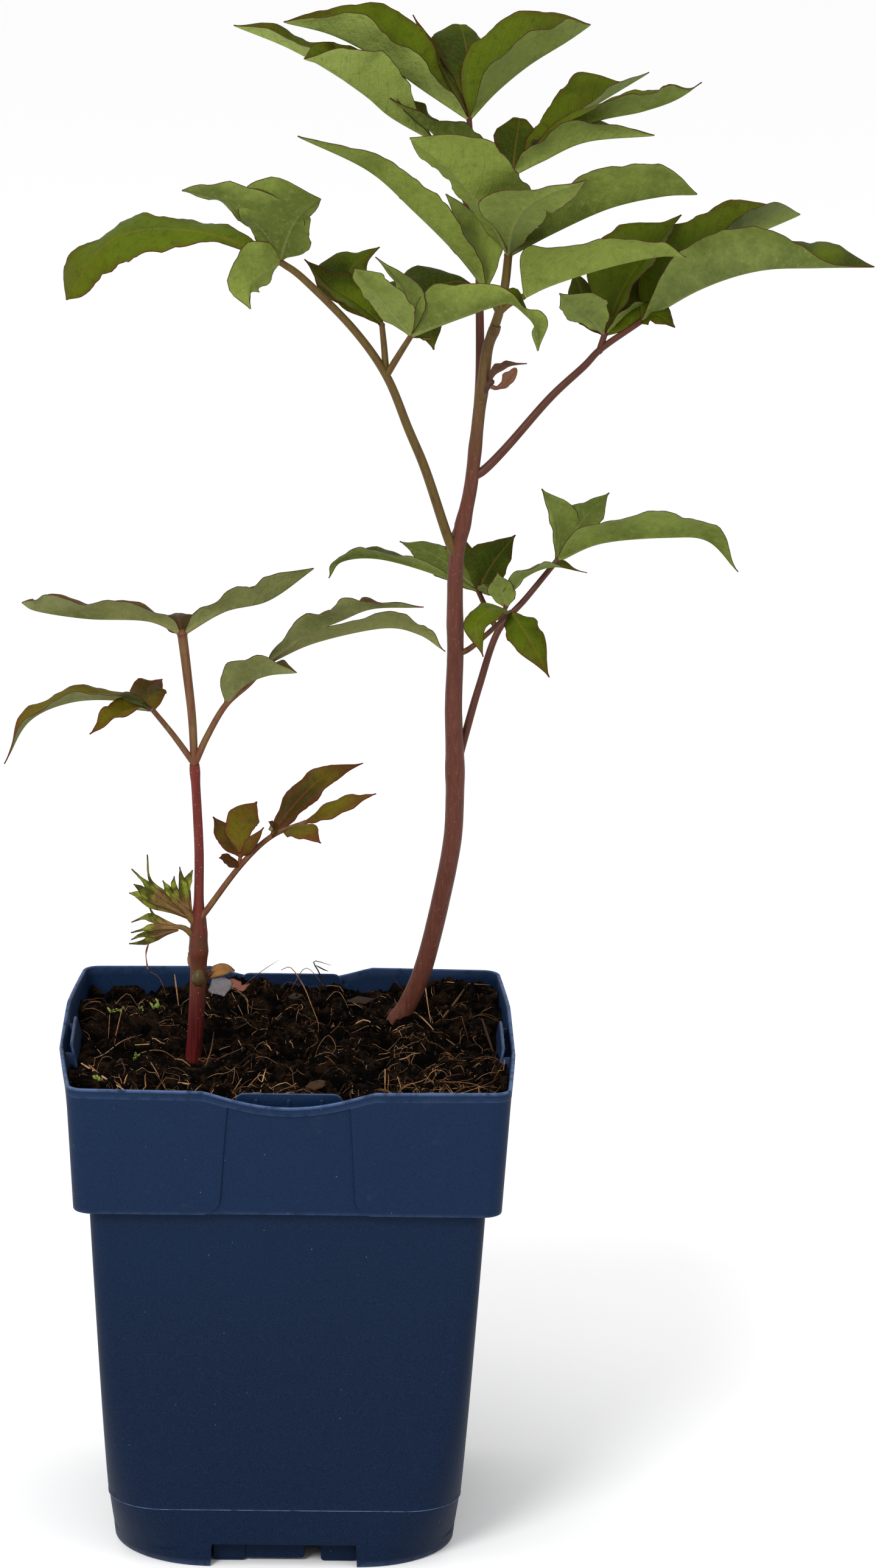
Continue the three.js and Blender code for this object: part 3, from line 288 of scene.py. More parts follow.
def blade_grid(leaf, index):
    """Middle surface of a blade and, for each point, how far it is along a row and from midrib,
    base and margin."""
    length = length_of(leaf["rib"])
    s = np.linspace(0, 1, int(np.clip(length / ROW_LENGTH, *BLADE_ROWS)) + 1)
    point, up, across = blade_axes(leaf, s)
    halves, marks = [], []
    spacing = max(LEAST_VEIN_SPACING, min(VEIN_SPACING, length / VEIN_COUNT))
    for side in (-1, 1):
        out, lift, width = half_blade(leaf, side, s, length, 1.7 * index)
        out, lift = out[:, BLADE_COLUMNS], lift[:, BLADE_COLUMNS]
        m = MARGIN_STEPS[BLADE_COLUMNS][None, :]
        run = m * width[:, None]
        vein = (s[:, None] * length - 0.75 * run - 0.022 * run**2) / spacing
        quilt = (0.5 - 0.5 * np.cos(FULL_TURN * (vein + (0.5 if side > 0 else 0)))) * np.sin(np.pi * m)
        lift = lift + quilt * QUILT_DEPTH * width[:, None]
        out, lift = out[..., None], lift[..., None]
        halves.append(point[:, None] + side * out * across[:, None] + lift * up[:, None])
        way = np.broadcast_to(s[:, None], run.shape)
        marks.append(np.stack([side * run, vein, way, width[:, None] - run], -1))
    grid, mark = (np.concatenate([left[:, ::-1], right[:, 1:]], 1) for left, right in (halves, marks))
    return grid, mark, length


def add_blade(shape, leaf, index, tint):
    """A thin closed blade: finish 0 is its upper side and 1 its underside with the raised midrib."""
    grid, mark, length = blade_grid(leaf, index)
    rows, columns = grid.shape[:2]
    normal = unit(np.cross(np.gradient(grid, axis=1), np.gradient(grid, axis=0)))
    run, s, to_margin = np.abs(mark[..., 0]), mark[..., 2], mark[..., 3]
    thick = BLADE_THICKNESS * np.clip(to_margin / 1.2, 0.5, 1)
    ridge = RIDGE * np.exp(-((run / RIDGE) ** 2)) * (1 - 0.75 * s) * min(1, length / 60)
    top = grid + normal * (thick / 2)[..., None]
    low = grid - normal * (thick / 2 + ridge)[..., None]
    faces = grid_faces(rows, columns)
    under = rows * columns
    edges = [(i * columns + j, (i + 1) * columns + j) for i in range(rows - 1) for j in (0, columns - 1)]
    edges += [(i * columns + j, i * columns + j + 1) for i in (0, rows - 1) for j in range(columns - 1)]
    rim = [[a, b, b + under, a + under] for a, b in edges]
    blade = mark[..., :3].reshape(-1, 3)
    # how much paler the underside is painted, as painted light shining through the blade
    glow = np.full(run.shape, leaf.get("glow", 0.0))
    edge = np.stack([to_margin, np.full(run.shape, tint), glow], -1).reshape(-1, 3)
    shape.add(
        np.concatenate([top.reshape(-1, 3), low.reshape(-1, 3)]),
        [*faces.tolist(), *(faces + under).tolist(), *rim],
        [int("turned" in leaf)] * len(faces) + [1] * (len(faces) + len(rim)),
        blade=np.concatenate([blade, blade]),
        edge=np.concatenate([edge, edge]),
    )


def hub(start, *leaflets):
    """Leaflets whose midribs all begin at the same point."""
    return [{**leaf, "rib": [start, *leaf["rib"]]} for leaf in leaflets]


# Stems and leaves: a stem's swellings are share of the way, extra width and reach

TALL_STEM = {
    "path": [[41, 43, 184], [42, 43, 190], [47, 42, 198], [53, 40, 214], [59, 38, 241], [63.2, 36, 266],
             [64, 35, 284], [63.6, 33, 303], [62.7, 31, 323], [63, 29, 345], [62.4, 27, 366], [62.6, 26, 384],
             [65, 25, 398], [67.6, 23, 413], [69.2, 21, 431], [70.3, 20, 444], [71.8, 18, 458], [73, 17, 469],
             [76, 15, 478]],
    "widths": [7.9, 7.6, 7.5, 7.4, 7.3, 7.3, 7.3, 7.2, 6.8, 6.5, 6.3, 6.0, 5.6, 5.3, 4.9, 4.8, 4.6, 4.3, 3.8],
    "swellings": [(0.37, 0.6, 5), (0.53, 0.4, 4), (0.665, 0.9, 5), (0.77, 0.5, 4.5), (0.86, 0.5, 4),
                  (0.985, 0.7, 4)],
    "sides": 28,
    "seed": 2,
}

SHORT_STEM = {
    "path": [[-38, -13, 184], [-38, -13, 190], [-37, -14, 203], [-36, -14, 227], [-36, -15, 237],
             [-36, -15, 247], [-36, -16, 256], [-36, -17, 275], [-37, -18, 295], [-38, -19, 311]],
    "widths": [6.6, 6.3, 6.2, 6.4, 7.0, 6.2, 4.0, 3.7, 3.6, 3.5],
    "swellings": [(0.42, 0.9, 5), (0.5, 0.5, 3), (0.98, 0.7, 3)],
    "sides": 26,
    "seed": 5,
}

# Each stalk is its path and its width at either end, each body its path, its widths and its tint.
LEAVES = {
    "leaf_top": {"tone": 0.85, "stalks": [
        ([[70, 20, 444], [70.5, 27, 459], [70, 36, 485], [69, 42, 508], [65, 48, 553]], 4.0, 2.2),
        ([[69, 42, 506], [63, 43, 524], [51, 40, 546]], 2.5, 1.9),
        ([[69, 42, 506], [75, 41, 520], [82, 39, 533]], 2.4, 1.9),
    ], "leaflets": [
        leaflet([[65, 48, 553], [47, 44, 565], [31, 42, 576], [12, 38, 586], [-7, 34, 591]], 41,
            [0, -0.35, 1], 70, fold_r=52, cup=-14, wave=1.8, tint=1.0, glow=0.8,
            shape=[0, 0.36, 0.65, 0.73, 0.82, 0.8, 0.45, 0], width_r=42,
            shape_r=[0, 0.32, 0.7, 0.98, 1, 0.68, 0.33, 0], wave_r=0.8),
        *hub([51, 40, 546],
             leaflet([[34, 37, 557], [17, 35, 569], [-4, 33, 581], [-26, 29, 590]], 24, [0, -0.25, 1], 62,
                 width_r=38, fold_r=50, wave=1.6, tint=1.0, glow=0.55,
                 shape=[0, 0.6, 0.9, 0.9, 0.8, 0.85, 0.7, 0],
                 shape_r=[0, 0.6, 0.95, 0.93, 0.68, 0.46, 0.36, 0]),
             leaflet([[35, 30, 556], [26, 24, 564], [17, 18, 571], [9, 14, 577], [1, 10, 580]], 34,
                 [0, -0.1, 1], 76, cup=-12, fold_r=45, width_r=26, wave=1.0, tint=0.8, glow=0.3,
                 shape=[0, 0.5, 0.85, 1, 0.98, 0.8, 0.3, 0], shape_r=[0, 0.5, 0.8, 0.9, 1, 1, 0.8, 0])),
        *hub([65, 48, 553],
             leaflet([[65, 60, 567], [64, 72, 577], [62, 84, 585]], 27, [0.2, -1, 0.4], 15, cup=-20,
                 width_r=14, shape=[0, 0.22, 0.5, 0.85, 1, 0.9, 0.25],
                 shape_r=[0, 0.3, 0.6, 0.9, 1, 0.9, 0.3]),
             leaflet([[56, 60, 568], [43, 72, 590]], 9, [0.2, -1, 0.5], 20, wave=0.3),
             leaflet([[75, 54, 563], [88, 60, 573], [103, 64, 582], [112, 66, 588]], 42, [-0.6, -0.45, 0.8],
                 52, fold_r=74, cup=-15, wave_r=1.6, tint=0.9, glow=0.25,
                 shape=[0, 0.62, 0.95, 1, 0.86, 0.5, 0], shape_r=[0, 0.5, 0.85, 0.8, 0.75, 0.5, 0])),
        leaflet([[68, 43, 526], [58, 38, 540], [53, 35, 547], [46, 31, 554], [34, 26, 563.5]], 30,
            [0, -0.1, 1], 72, cup=-20, width_r=24, fold_r=48, shape=[0, 0.85, 1, 0.9, 0.6, 0.3, 0.12, 0],
            shape_r=[0, 0.6, 0.9, 0.9, 0.9, 0.85, 0.6, 0]),
        *hub([82, 39, 533],
             leaflet([[83, 49, 541], [85, 59, 552]], 18, [0, -1, 0.3], 15, wave=0.5,
                 shape=[0, 0.5, 0.85, 0.95, 0.3], shape_r=[0, 0.3, 0.75, 1.05, 0.3]),
             leaflet([[93, 36, 539], [110, 34, 547], [136, 31, 550]], 46, [0, 0.3, 1], 50, width_r=26,
                 tint=1.0, glow=0.4, shape=[0, 0.4, 0.6, 0.75, 0.92, 1, 0.8, 0.4, 0]),
             leaflet([[94, 54, 545], [112, 68, 555], [136, 80, 568]], 35, [-0.55, -0.45, 0.8], 50,
                 width_r=14, fold_r=60, cup=-15, shape=[0, 0.08, 0.2, 0.36, 0.52, 0.7, 0.9, 0.1, 0],
                 shape_r=[0, 0.3, 0.5, 0.5, 0.5, 0.7, 1, 0.8, 0]),
             leaflet([[108, 47, 551], [132, 50, 557], [145, 51, 561.5], [155, 52, 568]], 24, [0, 0.1, 1],
                 45, cup=-15, shape=[0, 0.4, 0.7, 0.85, 1, 0.95, 0.9, 0.7, 0.12, 0])),
    ]},
    "leaf_crown": {"stalks": [
        ([[75, 16, 476], [77, 14.5, 483], [79, 12, 494], [80, 10, 506]], 3.8, 3.2),
        ([[77, 14.5, 483], [74.5, 11, 488], [72, 8, 493]], 2.8, 2.4),
        ([[77, 14.5, 483], [81, 12, 487], [86, 10, 490]], 2.8, 2.4),
    ], "leaflets": [
        *hub([80, 10, 506],
             leaflet([[71, -5, 524], [58, -18, 541], [41, -30, 556]], 42, [0.3, 0.8, 0.7], 25, cup=-15,
                 width_r=16, wave=0.7, shape=[0, 0.45, 0.75, 0.93, 0.97, 1, 0.93, 0.62, 0],
                 shape_r=[0, 0.5, 0.85, 1, 1, 0.95, 0.9, 0.8, 0]),
             leaflet([[81, -8, 520], [88, -24, 532], [107, -36, 542]], 22, [0, 0.9, 0.5], 10, cup=-20,
                 width_r=30, glow=0.2, shape=[0, 0.4, 0.7, 0.85, 0.85, 0.8, 0.75, 0.55, 0],
                 shape_r=[0, 0.12, 0.35, 0.75, 1.1, 0.75, 0.32, 0.1, 0]),
             leaflet([[97, 6, 516], [118, 4, 526], [138, 2, 531], [151, 0, 532]], 40, [0, 0.4, 1], 52,
                 wave=0.6, shape=[0, 0.4, 0.7, 0.88, 1, 0.98, 0.82, 0.5, 0])),
        *hub([72, 8, 493],
             leaflet([[60, 4, 508], [44, 0, 524], [26, -4, 540], [-1, -8, 553]], 27, [0.2, 0.4, 1], 52,
                 width_r=36, fold_r=44, wave=0.6, shape=[0, 0.35, 0.55, 0.78, 0.88, 0.8, 0.62, 0.35, 0],
                 shape_r=[0, 0.18, 0.46, 0.8, 1, 0.85, 0.65, 0.8, 0.7, 0]),
             leaflet([[69, 14, 504], [64, 20, 514], [56, 25, 527]], 28, [0.1, 0.9, 0.6], 15, width_r=9,
                 wave=0.6, shape=[0, 0.4, 0.8, 1, 0.9, 0.6, 0.35, 0])),
        leaflet([[86, 10, 490], [97, 6, 496], [118, 0, 504], [137, -5, 509], [147, -8, 509]], 24,
            [0, 0.45, 1], 48, width_r=36, shape_r=[0, 0.55, 1.12, 1.05, 0.82, 0.74, 0.62, 0.4, 0.2, 0]),
    ]},
    "leaf_right": {"tone": 0.75, "stalks": [
        ([[68, 23, 417], [73, 23, 420], [82, 26, 429], [98, 31, 447], [111, 34, 459], [118, 36, 466],
            [133, 40, 476]], 3.8, 2.4),
        ([[117, 35.7, 465], [118, 37, 468], [119, 38, 471]], 2.6, 2.4),
    ], "leaflets": [
        *hub([119, 38, 471],
             leaflet([[127, 46, 489], [138, 54, 503], [149, 60, 515]], 38, [-0.6, -0.6, 0.6], 42, cup=-15,
                 shape=[0, 0.35, 0.7, 0.95, 1, 0.9, 0.55, 0.2, 0]),
             leaflet([[112, 48, 482], [107, 58, 493]], 14, [0, -1, 0.4], 15, wave=0.5),
             leaflet([[129, 47, 483], [144, 54, 491]], 20, [-0.2, -0.8, 0.6], 15, wave=0.5),
             leaflet([[111, 27, 481], [100, 13, 491]], 21, [0, 1, 0.6], 10, cup=-20, peak=0.6, width_r=14),
             leaflet([[129, 42, 480], [138, 46, 483]], 10, [0, 0.4, 1], 35, wave=0.4)),
        *hub([133, 40, 476],
             leaflet([[139, 37, 479], [146, 33, 475]], 13, [0, -0.5, 1], 25, wave=0.6),
             leaflet([[156, 38, 490], [178, 34, 498], [201, 30, 500], [222, 26, 501]], 42, [0, 0.3, 1], 50,
                 width_r=40, fold_r=70, wave=1.2, wave_r=0.5, cup=-20,
                 shape=[0, 0.5, 0.85, 0.95, 1, 1, 1.03, 0.84, 0.45, 0],
                 shape_r=[0, 0.45, 0.85, 0.97, 0.94, 0.86, 0.5, 0.1, 0.03, 0]),
             leaflet([[151, 51, 492], [170, 60, 504], [196, 66, 515]], 40, [-0.4, -0.5, 0.8], 48,
                 width_r=30, fold_r=76, cup=-15, tint=1.0,
                 shape=[0, 0.5, 0.85, 0.95, 0.93, 0.85, 0.78, 0.5, 0],
                 shape_r=[0, 0.25, 0.3, 0.3, 0.45, 0.9, 1.3, 1.25, 0])),
    ]},
    "leaf_left": {"tone": 0.42, "stalks": [
        ([[63, 25.5, 384], [59, 24, 393], [50, 18, 420], [43, 14, 437], [34, 8, 459], [21, 2, 478],
            [2, -5, 498], [-7, -8, 505]], 4.2, 2.6),
        ([[34, 8, 459], [33, 7, 470], [32, 6, 479]], 2.8, 2.2),
        ([[34, 8, 459], [39, 1, 469], [43, -6, 477]], 2.8, 2.2),
    ], "leaflets": [
        *hub([-7, -8, 506],
             leaflet([[-10, -12, 513], [-15, -17, 520], [-21, -21, 526], [-29, -25, 532], [-37, -28, 534],
                 [-44, -30, 535]], 34, [0.2, 0.9, 0.8], 8, width_r=11, cup=-10, tint=0.3,
                 shape=[0, 0.6, 1, 1, 0.95, 0.7, 0.35, 0.3, 0],
                 shape_r=[0, 0.7, 1, 0.95, 0.8, 0.7, 0.6, 0.4, 0]),
             leaflet([[-5, -15, 514], [-2, -22, 522], [2, -28, 528], [8, -33, 533]], 18, [0.1, 0.9, 0.6], 8,
                 width_r=46, cup=-10, wave=1.2, tint=0.25, shape=[0, 0.8, 1, 0.9, 0.7, 0.5, 0.35, 0.3, 0],
                 shape_r=[0, 0.35, 0.65, 0.85, 0.95, 1, 0.95, 0.65, 0])),
        *hub([-7, -8, 505],
             leaflet([[-20, -5, 510], [-33, -1, 514], [-46, 3, 515], [-60, 7, 514], [-71, 9, 510],
                 [-80, 11, 501], [-85, 12, 492], [-89, 12, 486]], 30, [-0.1, -0.6, 1], -8, cup=-10,
                 width_r=26, wave=1.2, tint=1.0, shape=[0, 0.1, 0.25, 0.45, 0.7, 0.95, 0.7, 0.55, 0.4, 0],
                 shape_r=[0, 0.4, 0.7, 0.75, 0.7, 1.1, 0.7, 1, 0.95, 0]),
             leaflet([[-12, -15, 503], [-17, -21, 500], [-19, -25, 496], [-18, -27, 490]], 30,
                 [-0.3, 0.9, 0.3], 5, width_r=12, cup=-10, shape=[0, 0.55, 0.85, 1, 0.95, 0.6, 0.25, 0],
                 shape_r=[0, 0.6, 1, 1, 0.7, 0.3, 0.1, 0])),
        *hub([32, 6, 479],
             leaflet([[22, 8, 487], [12, 10, 493], [2, 12, 503]], 20, [0, -0.4, 1], 40, wave=0.6),
             leaflet([[23, 13, 487], [19, 19, 493], [21, 25, 499], [26, 29, 502], [31, 32, 505]], 26,
                 [0, -0.9, 1], 12, width_r=17, shape=[0, 0.3, 0.6, 0.9, 1, 0.7, 0.35, 0.15, 0])),
        *hub([43, -6, 477],
             leaflet([[35, -15, 488], [27, -26, 499], [21, -33, 507]], 22, [0.2, 0.8, 0.9], 10, cup=-20,
                 width_r=12, wave=0.6, shape=[0, 0.5, 0.85, 1, 0.95, 0.85, 0.7, 0],
                 shape_r=[0, 0.6, 1, 1, 0.9, 0.8, 0.65, 0]),
             leaflet([[42, -8, 487], [41, -8, 495], [36, -7, 501], [29, -5, 507]], 17, [0.4, 0.6, 0.6], 20,
                 wave=0.4, shape=[0, 0.5, 0.85, 1, 0.8, 0.45, 0.2, 0]),
             leaflet([[47, 4, 488], [52, 12, 492], [59, 18, 494], [66, 22, 493]], 36, [-0.2, -0.9, 1], 10,
                 width_r=13, shape=[0, 0.35, 0.75, 1, 1, 0.85, 0.55, 0.25, 0]),
             leaflet([[53, -10, 482], [62, -13, 486], [72, -15, 490], [80, -16, 492], [86, -17, 488],
                 [90, -18, 483], [91, -18, 474]], 24, [0, 0.45, 1], 48, width_r=36, fold_r=60, cup=-15,
                 wave=0.8, shape=[0, 0.3, 0.5, 0.6, 0.8, 1, 0.7, 0.35, 0.3, 0],
                 shape_r=[0, 0.65, 0.85, 0.76, 0.55, 0.28, 0.12, 0.25, 0.25, 0]),
             leaflet([[49, 2, 480], [52, 4, 470]], 12, [0, -1, 0.3], 10, wave=0.3)),
    ]},
    "leaf_low": {"tone": 0.8, "stalks": [
        ([[64, 33, 297], [68, 36, 312], [73, 39, 330], [80, 43, 351], [91, 46, 364], [103, 48, 379]], 3.4,
            2.2),
        ([[80, 43, 351], [76, 47, 358], [72, 50, 366]], 2.4, 2),
        ([[80, 43, 351], [81.5, 43.5, 357], [83, 43.5, 361]], 2.2, 1.8),
    ], "leaflets": [
        *hub([103, 48, 379],
             leaflet([[103, 58, 392], [97, 66, 404]], 6, [0.4, -0.9, 0.5], 15, cup=-20, peak=0.5,
                 width_r=20, wave=0.4, turned=True),
             leaflet([[112, 60, 391], [124, 70, 402]], 16, [-0.4, -0.9, 0.5], 15, cup=-20, peak=0.5,
                 wave=0.4, turned=True),
             leaflet([[120, 46, 387], [146, 44, 390], [162, 42, 389], [174, 40, 377]], 32, [0, 0.3, 1], 50,
                 wave=1.1)),
        *hub([83, 43.5, 361],
             leaflet([[88, 41, 372], [100, 36, 379], [114, 30, 378]], 14, [0, 0.1, 1], 35),
             leaflet([[81, 39, 369], [79, 33, 377]], 11, [0, 0.8, 1], 15, wave=0.5)),
        *hub([72, 50, 366],
             leaflet([[52, 54, 373], [32, 58, 377], [18, 60, 375], [13, 60, 368]], 17, [0, 0.2, 1], 42),
             leaflet([[56, 60, 377], [41, 66, 382]], 15, [0, -0.6, 1], 15, wave=0.6, turned=True),
             leaflet([[65, 61, 377], [63, 70, 389]], 12, [0, -1, 0.4], 15, wave=0.6),
             leaflet([[78, 59, 375], [87, 67, 385]], 22, [0, -1, 0.6], 12, width_r=13, wave=0.6),
             leaflet([[78, 44, 368], [82, 38, 371]], 11, [0, 0.9, 0.7], 10, wave=0.5)),
    ]},
    "leaf_small": {"tone": 0.6, "stalks": [
        ([[63, 29, 345], [68, 28, 347], [76, 24, 355], [84, 20, 364]], 2.6, 1.8),
    ], "leaflets": [
        *hub([84, 20, 364],
             leaflet([[77, 12, 367], [70, 4, 362], [73, -2, 351]], 12, [-0.2, -0.6, 1], 15, wave=0.5),
             leaflet([[90, 12, 357], [99, 3, 342]], 15, [0.3, -1, 0.6], 10)),
    ]},
    "shoot_leaf_top": {"tone": 0.55, "stalks": [
        ([[-38, -19, 310], [-39, -20, 329], [-41, -21, 347], [-43, -22, 363]], 3.0, 3.9),
        ([[-38, -19, 311], [-33, -21, 323], [-26, -24, 336], [-17, -26, 345], [-10, -28, 354]], 2.8, 2),
        ([[-38, -19, 311], [-46, -22, 323], [-54, -26, 334]], 2.6, 2),
    ], "leaflets": [
        *hub([-43, -22, 363],
             leaflet([[-56, -24, 369], [-79, -26, 370], [-98, -28, 373], [-104, -28, 376]], 25, [0, 0.2, 1],
                 50, wave=1.4, shape=[0, 0.45, 0.75, 0.9, 1, 1, 0.8, 0.55, 0]),
             leaflet([[-45, -10, 367], [-46, 2, 366]], 14, [0, -1, 1], 10, wave=0.6),
             leaflet([[-27, -24, 373], [-10, -26, 378], [7, -29, 391]], 26, [0, 0.25, 1], 50, wave=1.2,
                 shape=[0, 0.4, 0.6, 0.75, 0.95, 1, 0.85, 0.6, 0])),
        leaflet([[-26, -24, 336], [-19, -29, 345], [-10, -33, 350], [1, -37, 352]], 29, [0, 0.3, 1], 48,
            width_r=24, fold_r=58, shape=[0, 0.5, 0.85, 1, 0.95, 0.85, 0.5, 0]),
        *hub([-10, -28, 354],
             leaflet([[4, -30, 365], [18, -32, 372], [30, -34, 377], [49, -36, 378]], 22, [0, 0.25, 1], 46,
                 wave=1.6),
             leaflet([[8, -22, 361], [34, -18, 366], [48, -16, 363], [58, -15, 356]], 20, [0, 0.35, 1], 44,
                 wave=1)),
        *hub([-54, -26, 334],
             leaflet([[-66, -30, 339], [-85, -34, 339], [-101, -38, 332], [-110, -42, 316]], 18,
                 [0, 0.1, 1], 42, wave=1.1),
             leaflet([[-65, -40, 337], [-77, -54, 331]], 13, [0, -0.2, 1], 35),
             leaflet([[-56, -14, 339], [-51, -4, 341]], 14, [0, -0.7, 1], 20)),
    ]},
    "shoot_leaf_low": {"tone": 0.55, "stalks": [
        ([[-37, -15, 243], [-36, -16, 248], [-33, -17, 252], [-20, -20, 271], [-8, -24, 284],
            [5, -25, 290]], 3, 1.8),
        ([[-20.5, -19.9, 270.5], [-20, -20, 275]], 1.8, 1.5),
    ], "leaflets": [
        *hub([-20, -20, 275],
             leaflet([[-25, -12, 281], [-31, -3, 286]], 10, [0.2, -1, 0.5], 12, wave=0.4),
             leaflet([[-20, -9, 285], [-14, 2, 291]], 13, [-0.2, -1, 0.4], 12, cup=-20, peak=0.55,
                 wave=0.5)),
        leaflet([[-20, -20, 271], [-25, -26, 275], [-28, -31, 277]], 5, [0, -1, 0.6], 12, wave=0.3),
        leaflet([[-20, -20, 275], [-16, -25, 281], [-11, -30, 289]], 5, [0, -1, 0.6], 12, wave=0.3),
        leaflet([[-8, -24, 284], [1, -20, 296], [12, -17, 306], [27, -14, 311]], 11, [-0.5, -0.9, 0.5], 25,
            twist=20),
        leaflet([[5, -25, 290], [18, -30, 298], [32, -34, 304]], 9, [-0.2, -0.7, 1], 15, wave=0.6),
        leaflet([[-3, -24.7, 287], [4, -36, 290], [11, -45, 287]], 11, [0.2, -0.8, 0.8], 10, wave=0.5),
        leaflet([[-8, -24, 284], [-7, -33, 290], [-9, -40, 294]], 4.5, [0, -1, 0.6], 12, wave=0.3),
    ]},
    "sprout_upper": {"stalks": [
        ([[-36, -14, 245], [-40, -16, 250], [-43, -18, 254], [-46, -19.5, 257]], 4.4, 1.0),
    ], "leaflets": [
        leaflet([[-40, -16, 250], [-42, -19, 261], [-43.5, -19, 270]], 4.2, [0.3, -1, 0.3], 25, wave=0.4,
            shape=[0.3, 0.6, 0.9, 1, 0.7, 0.35, 0]),
        leaflet([[-39, -15, 249], [-41, -17, 261], [-38.5, -16, 268]], 4.4, [-0.4, -1, 0.3], 25, wave=0.4,
            shape=[0.3, 0.6, 0.8, 1, 0.9, 0.5, 0]),
        leaflet([[-41, -17, 252], [-45.5, -21, 262], [-45.5, -22, 267]], 2.6, [0.3, -1, 0.3], 20, wave=0.3),
        *hub([-41, -17, 251],
             leaflet([[-47, -21, 260], [-50, -21, 265]], 3.8, [0.4, -1, 0.5], 30, wave=0.4),
             leaflet([[-50, -20, 259], [-55, -20, 265], [-56, -20, 275]], 3.6, [0.5, -1, 0.5], 25, wave=0.3,
                 shape=[0.2, 0.6, 0.9, 1, 0.8, 0.45, 0.25, 0.12, 0]),
             leaflet([[-53, -22, 260.5], [-58, -23, 266], [-62, -23, 270]], 3.6, [0.4, -1, 0.6], 25,
                 wave=0.3, shape=[0.2, 0.6, 0.95, 1, 0.8, 0.45, 0.25, 0.12, 0])),
        leaflet([[-41, -17, 250], [-53, -24, 258], [-58, -26, 262.5], [-61, -27, 265]], 4.4, [0.1, -1, 0.6],
            30, wave=0.4, shape=[0.2, 0.5, 0.9, 1, 0.7, 0.4, 0]),
        leaflet([[-40, -16, 249], [-53, -21, 255.5], [-59, -21, 259], [-63, -20, 259.5]], 4.6, [0, -1, 0.3],
            25, wave=0.4, shape=[0.2, 0.5, 0.9, 1, 0.7, 0.35, 0]),
    ]},
    "sprout_side": {"stalks": [
        ([[-37, -15, 240], [-41, -17, 244.5], [-45, -19, 246], [-51, -21, 246.5]], 3.0, 1.0),
    ], "bodies": [
        ([[-55, -20, 240], [-56, -20, 237], [-56.3, -20, 234], [-55.6, -20, 229]], [0.3, 0.8, 0.4, 0.8],
            1.2),
    ], "leaflets": [
        *hub([-44, -19, 245.5],
             leaflet([[-53, -21, 249.5], [-57, -21, 250], [-62, -21, 248]], 3.8, [0, -1, 0.5], 25, wave=0.3,
                 shape=[0.3, 0.6, 0.95, 0.9, 0.45, 0.2, 0]),
             leaflet([[-53, -24, 247], [-57, -26, 246.6], [-62, -27, 245.5]], 3.2, [0, -1, 0.6], 25,
                 wave=0.3, shape=[0.3, 0.6, 0.95, 0.9, 0.45, 0.2, 0])),
        *hub([-44, -19, 245],
             leaflet([[-53, -22, 243.8], [-58, -23, 243.5], [-62, -23, 241.5]], 3.4, [0, -1, 0.6], 25,
                 wave=0.3, shape=[0.3, 0.6, 0.95, 0.9, 0.5, 0.3, 0]),
             leaflet([[-53, -19, 241.5], [-58, -18, 239], [-63, -18, 238.5]], 3.8, [0, -1, 0.8], 25,
                 wave=0.3, shape=[0.3, 0.6, 0.95, 0.9, 0.5, 0.3, 0])),
        leaflet([[-49, -21, 247], [-53, -21, 250.5], [-55, -21, 254]], 2.2, [0.2, -1, 0.4], 20, wave=0.2,
            shape=[0.4, 0.9, 1, 0.6, 0.3, 0]),
    ]},
    "bud_dried": {"tone": 1.0, "stalks": [
        ([[71.5, 18.5, 452], [73, 17.5, 454], [74.5, 16.8, 455.5]], 4.2, 2.6),
    ], "leaflets": [
        leaflet([[74, 17, 455.5], [76, 15, 459], [79, 14, 461], [82, 12, 463], [88, 10, 464]], 6.4,
            [-0.3, -0.6, 1], 50, cup=25, wave=0.5, tint=0.16,
            shape=[0.2, 0.6, 0.9, 1, 0.95, 0.8, 0.5, 0.25, 0]),
        leaflet([[73.4, 17, 454.4], [76.5, 15.3, 453.4], [79, 13.2, 455], [81, 11.8, 457.5],
            [82.8, 11, 460], [83.8, 12, 462]], 5.6, [-0.5, -1, 0.4], 30, wave=0.6, tint=0.32,
            shape=[0.16, 0.16, 0.2, 0.45, 0.9, 1, 0.8, 0.6, 0.2]),
    ]},
    "bud_scales": {"tone": 0.9, "stalks": [
        ([[-35, -12, 220], [-33.5, -11, 222.5], [-32.5, -11, 224.5]], 3.4, 3.0),
    ], "bodies": [
        ([[-33, -11, 224], [-30, -10, 225.2], [-27.5, -9, 226], [-25, -8, 226], [-22, -7, 225]],
            [2.6, 3.6, 4.8, 3.6, 0.5], 0.7),
        ([[-35.8, -15.2, 221], [-36, -16.4, 223.4], [-35.9, -16.6, 226], [-35.5, -15.4, 229.4]],
            [2.4, 5.0, 4.4, 1.0], 0.5),
    ], "leaflets": [
        leaflet([[-33, -11, 223], [-29, -11.5, 226], [-25, -10.5, 226.5], [-22, -8, 225]], 5.2,
            [-0.1, -1, 0.5], 30, cup=-50, wave=0.3, tint=0.7),
        leaflet([[-31, -10, 224], [-28, -12, 221], [-26, -14, 216.5]], 10, [0.3, -1, 0.5], 10, cup=-20,
            peak=0.62, wave=0.5, tint=1.0),
        leaflet([[-26, -9, 221.5], [-22, -10, 220.5], [-19, -10, 219], [-16, -8, 220]], 4, [0, -0.9, 1], 15,
            cup=-20, wave=0.6, tint=0.45),
        leaflet([[-37, -14, 225], [-39, -14, 230], [-40, -13.5, 234]], 2.8, [-0.5, -1, 0.1], 15, wave=0.2,
            tint=0.55),
    ]},
}

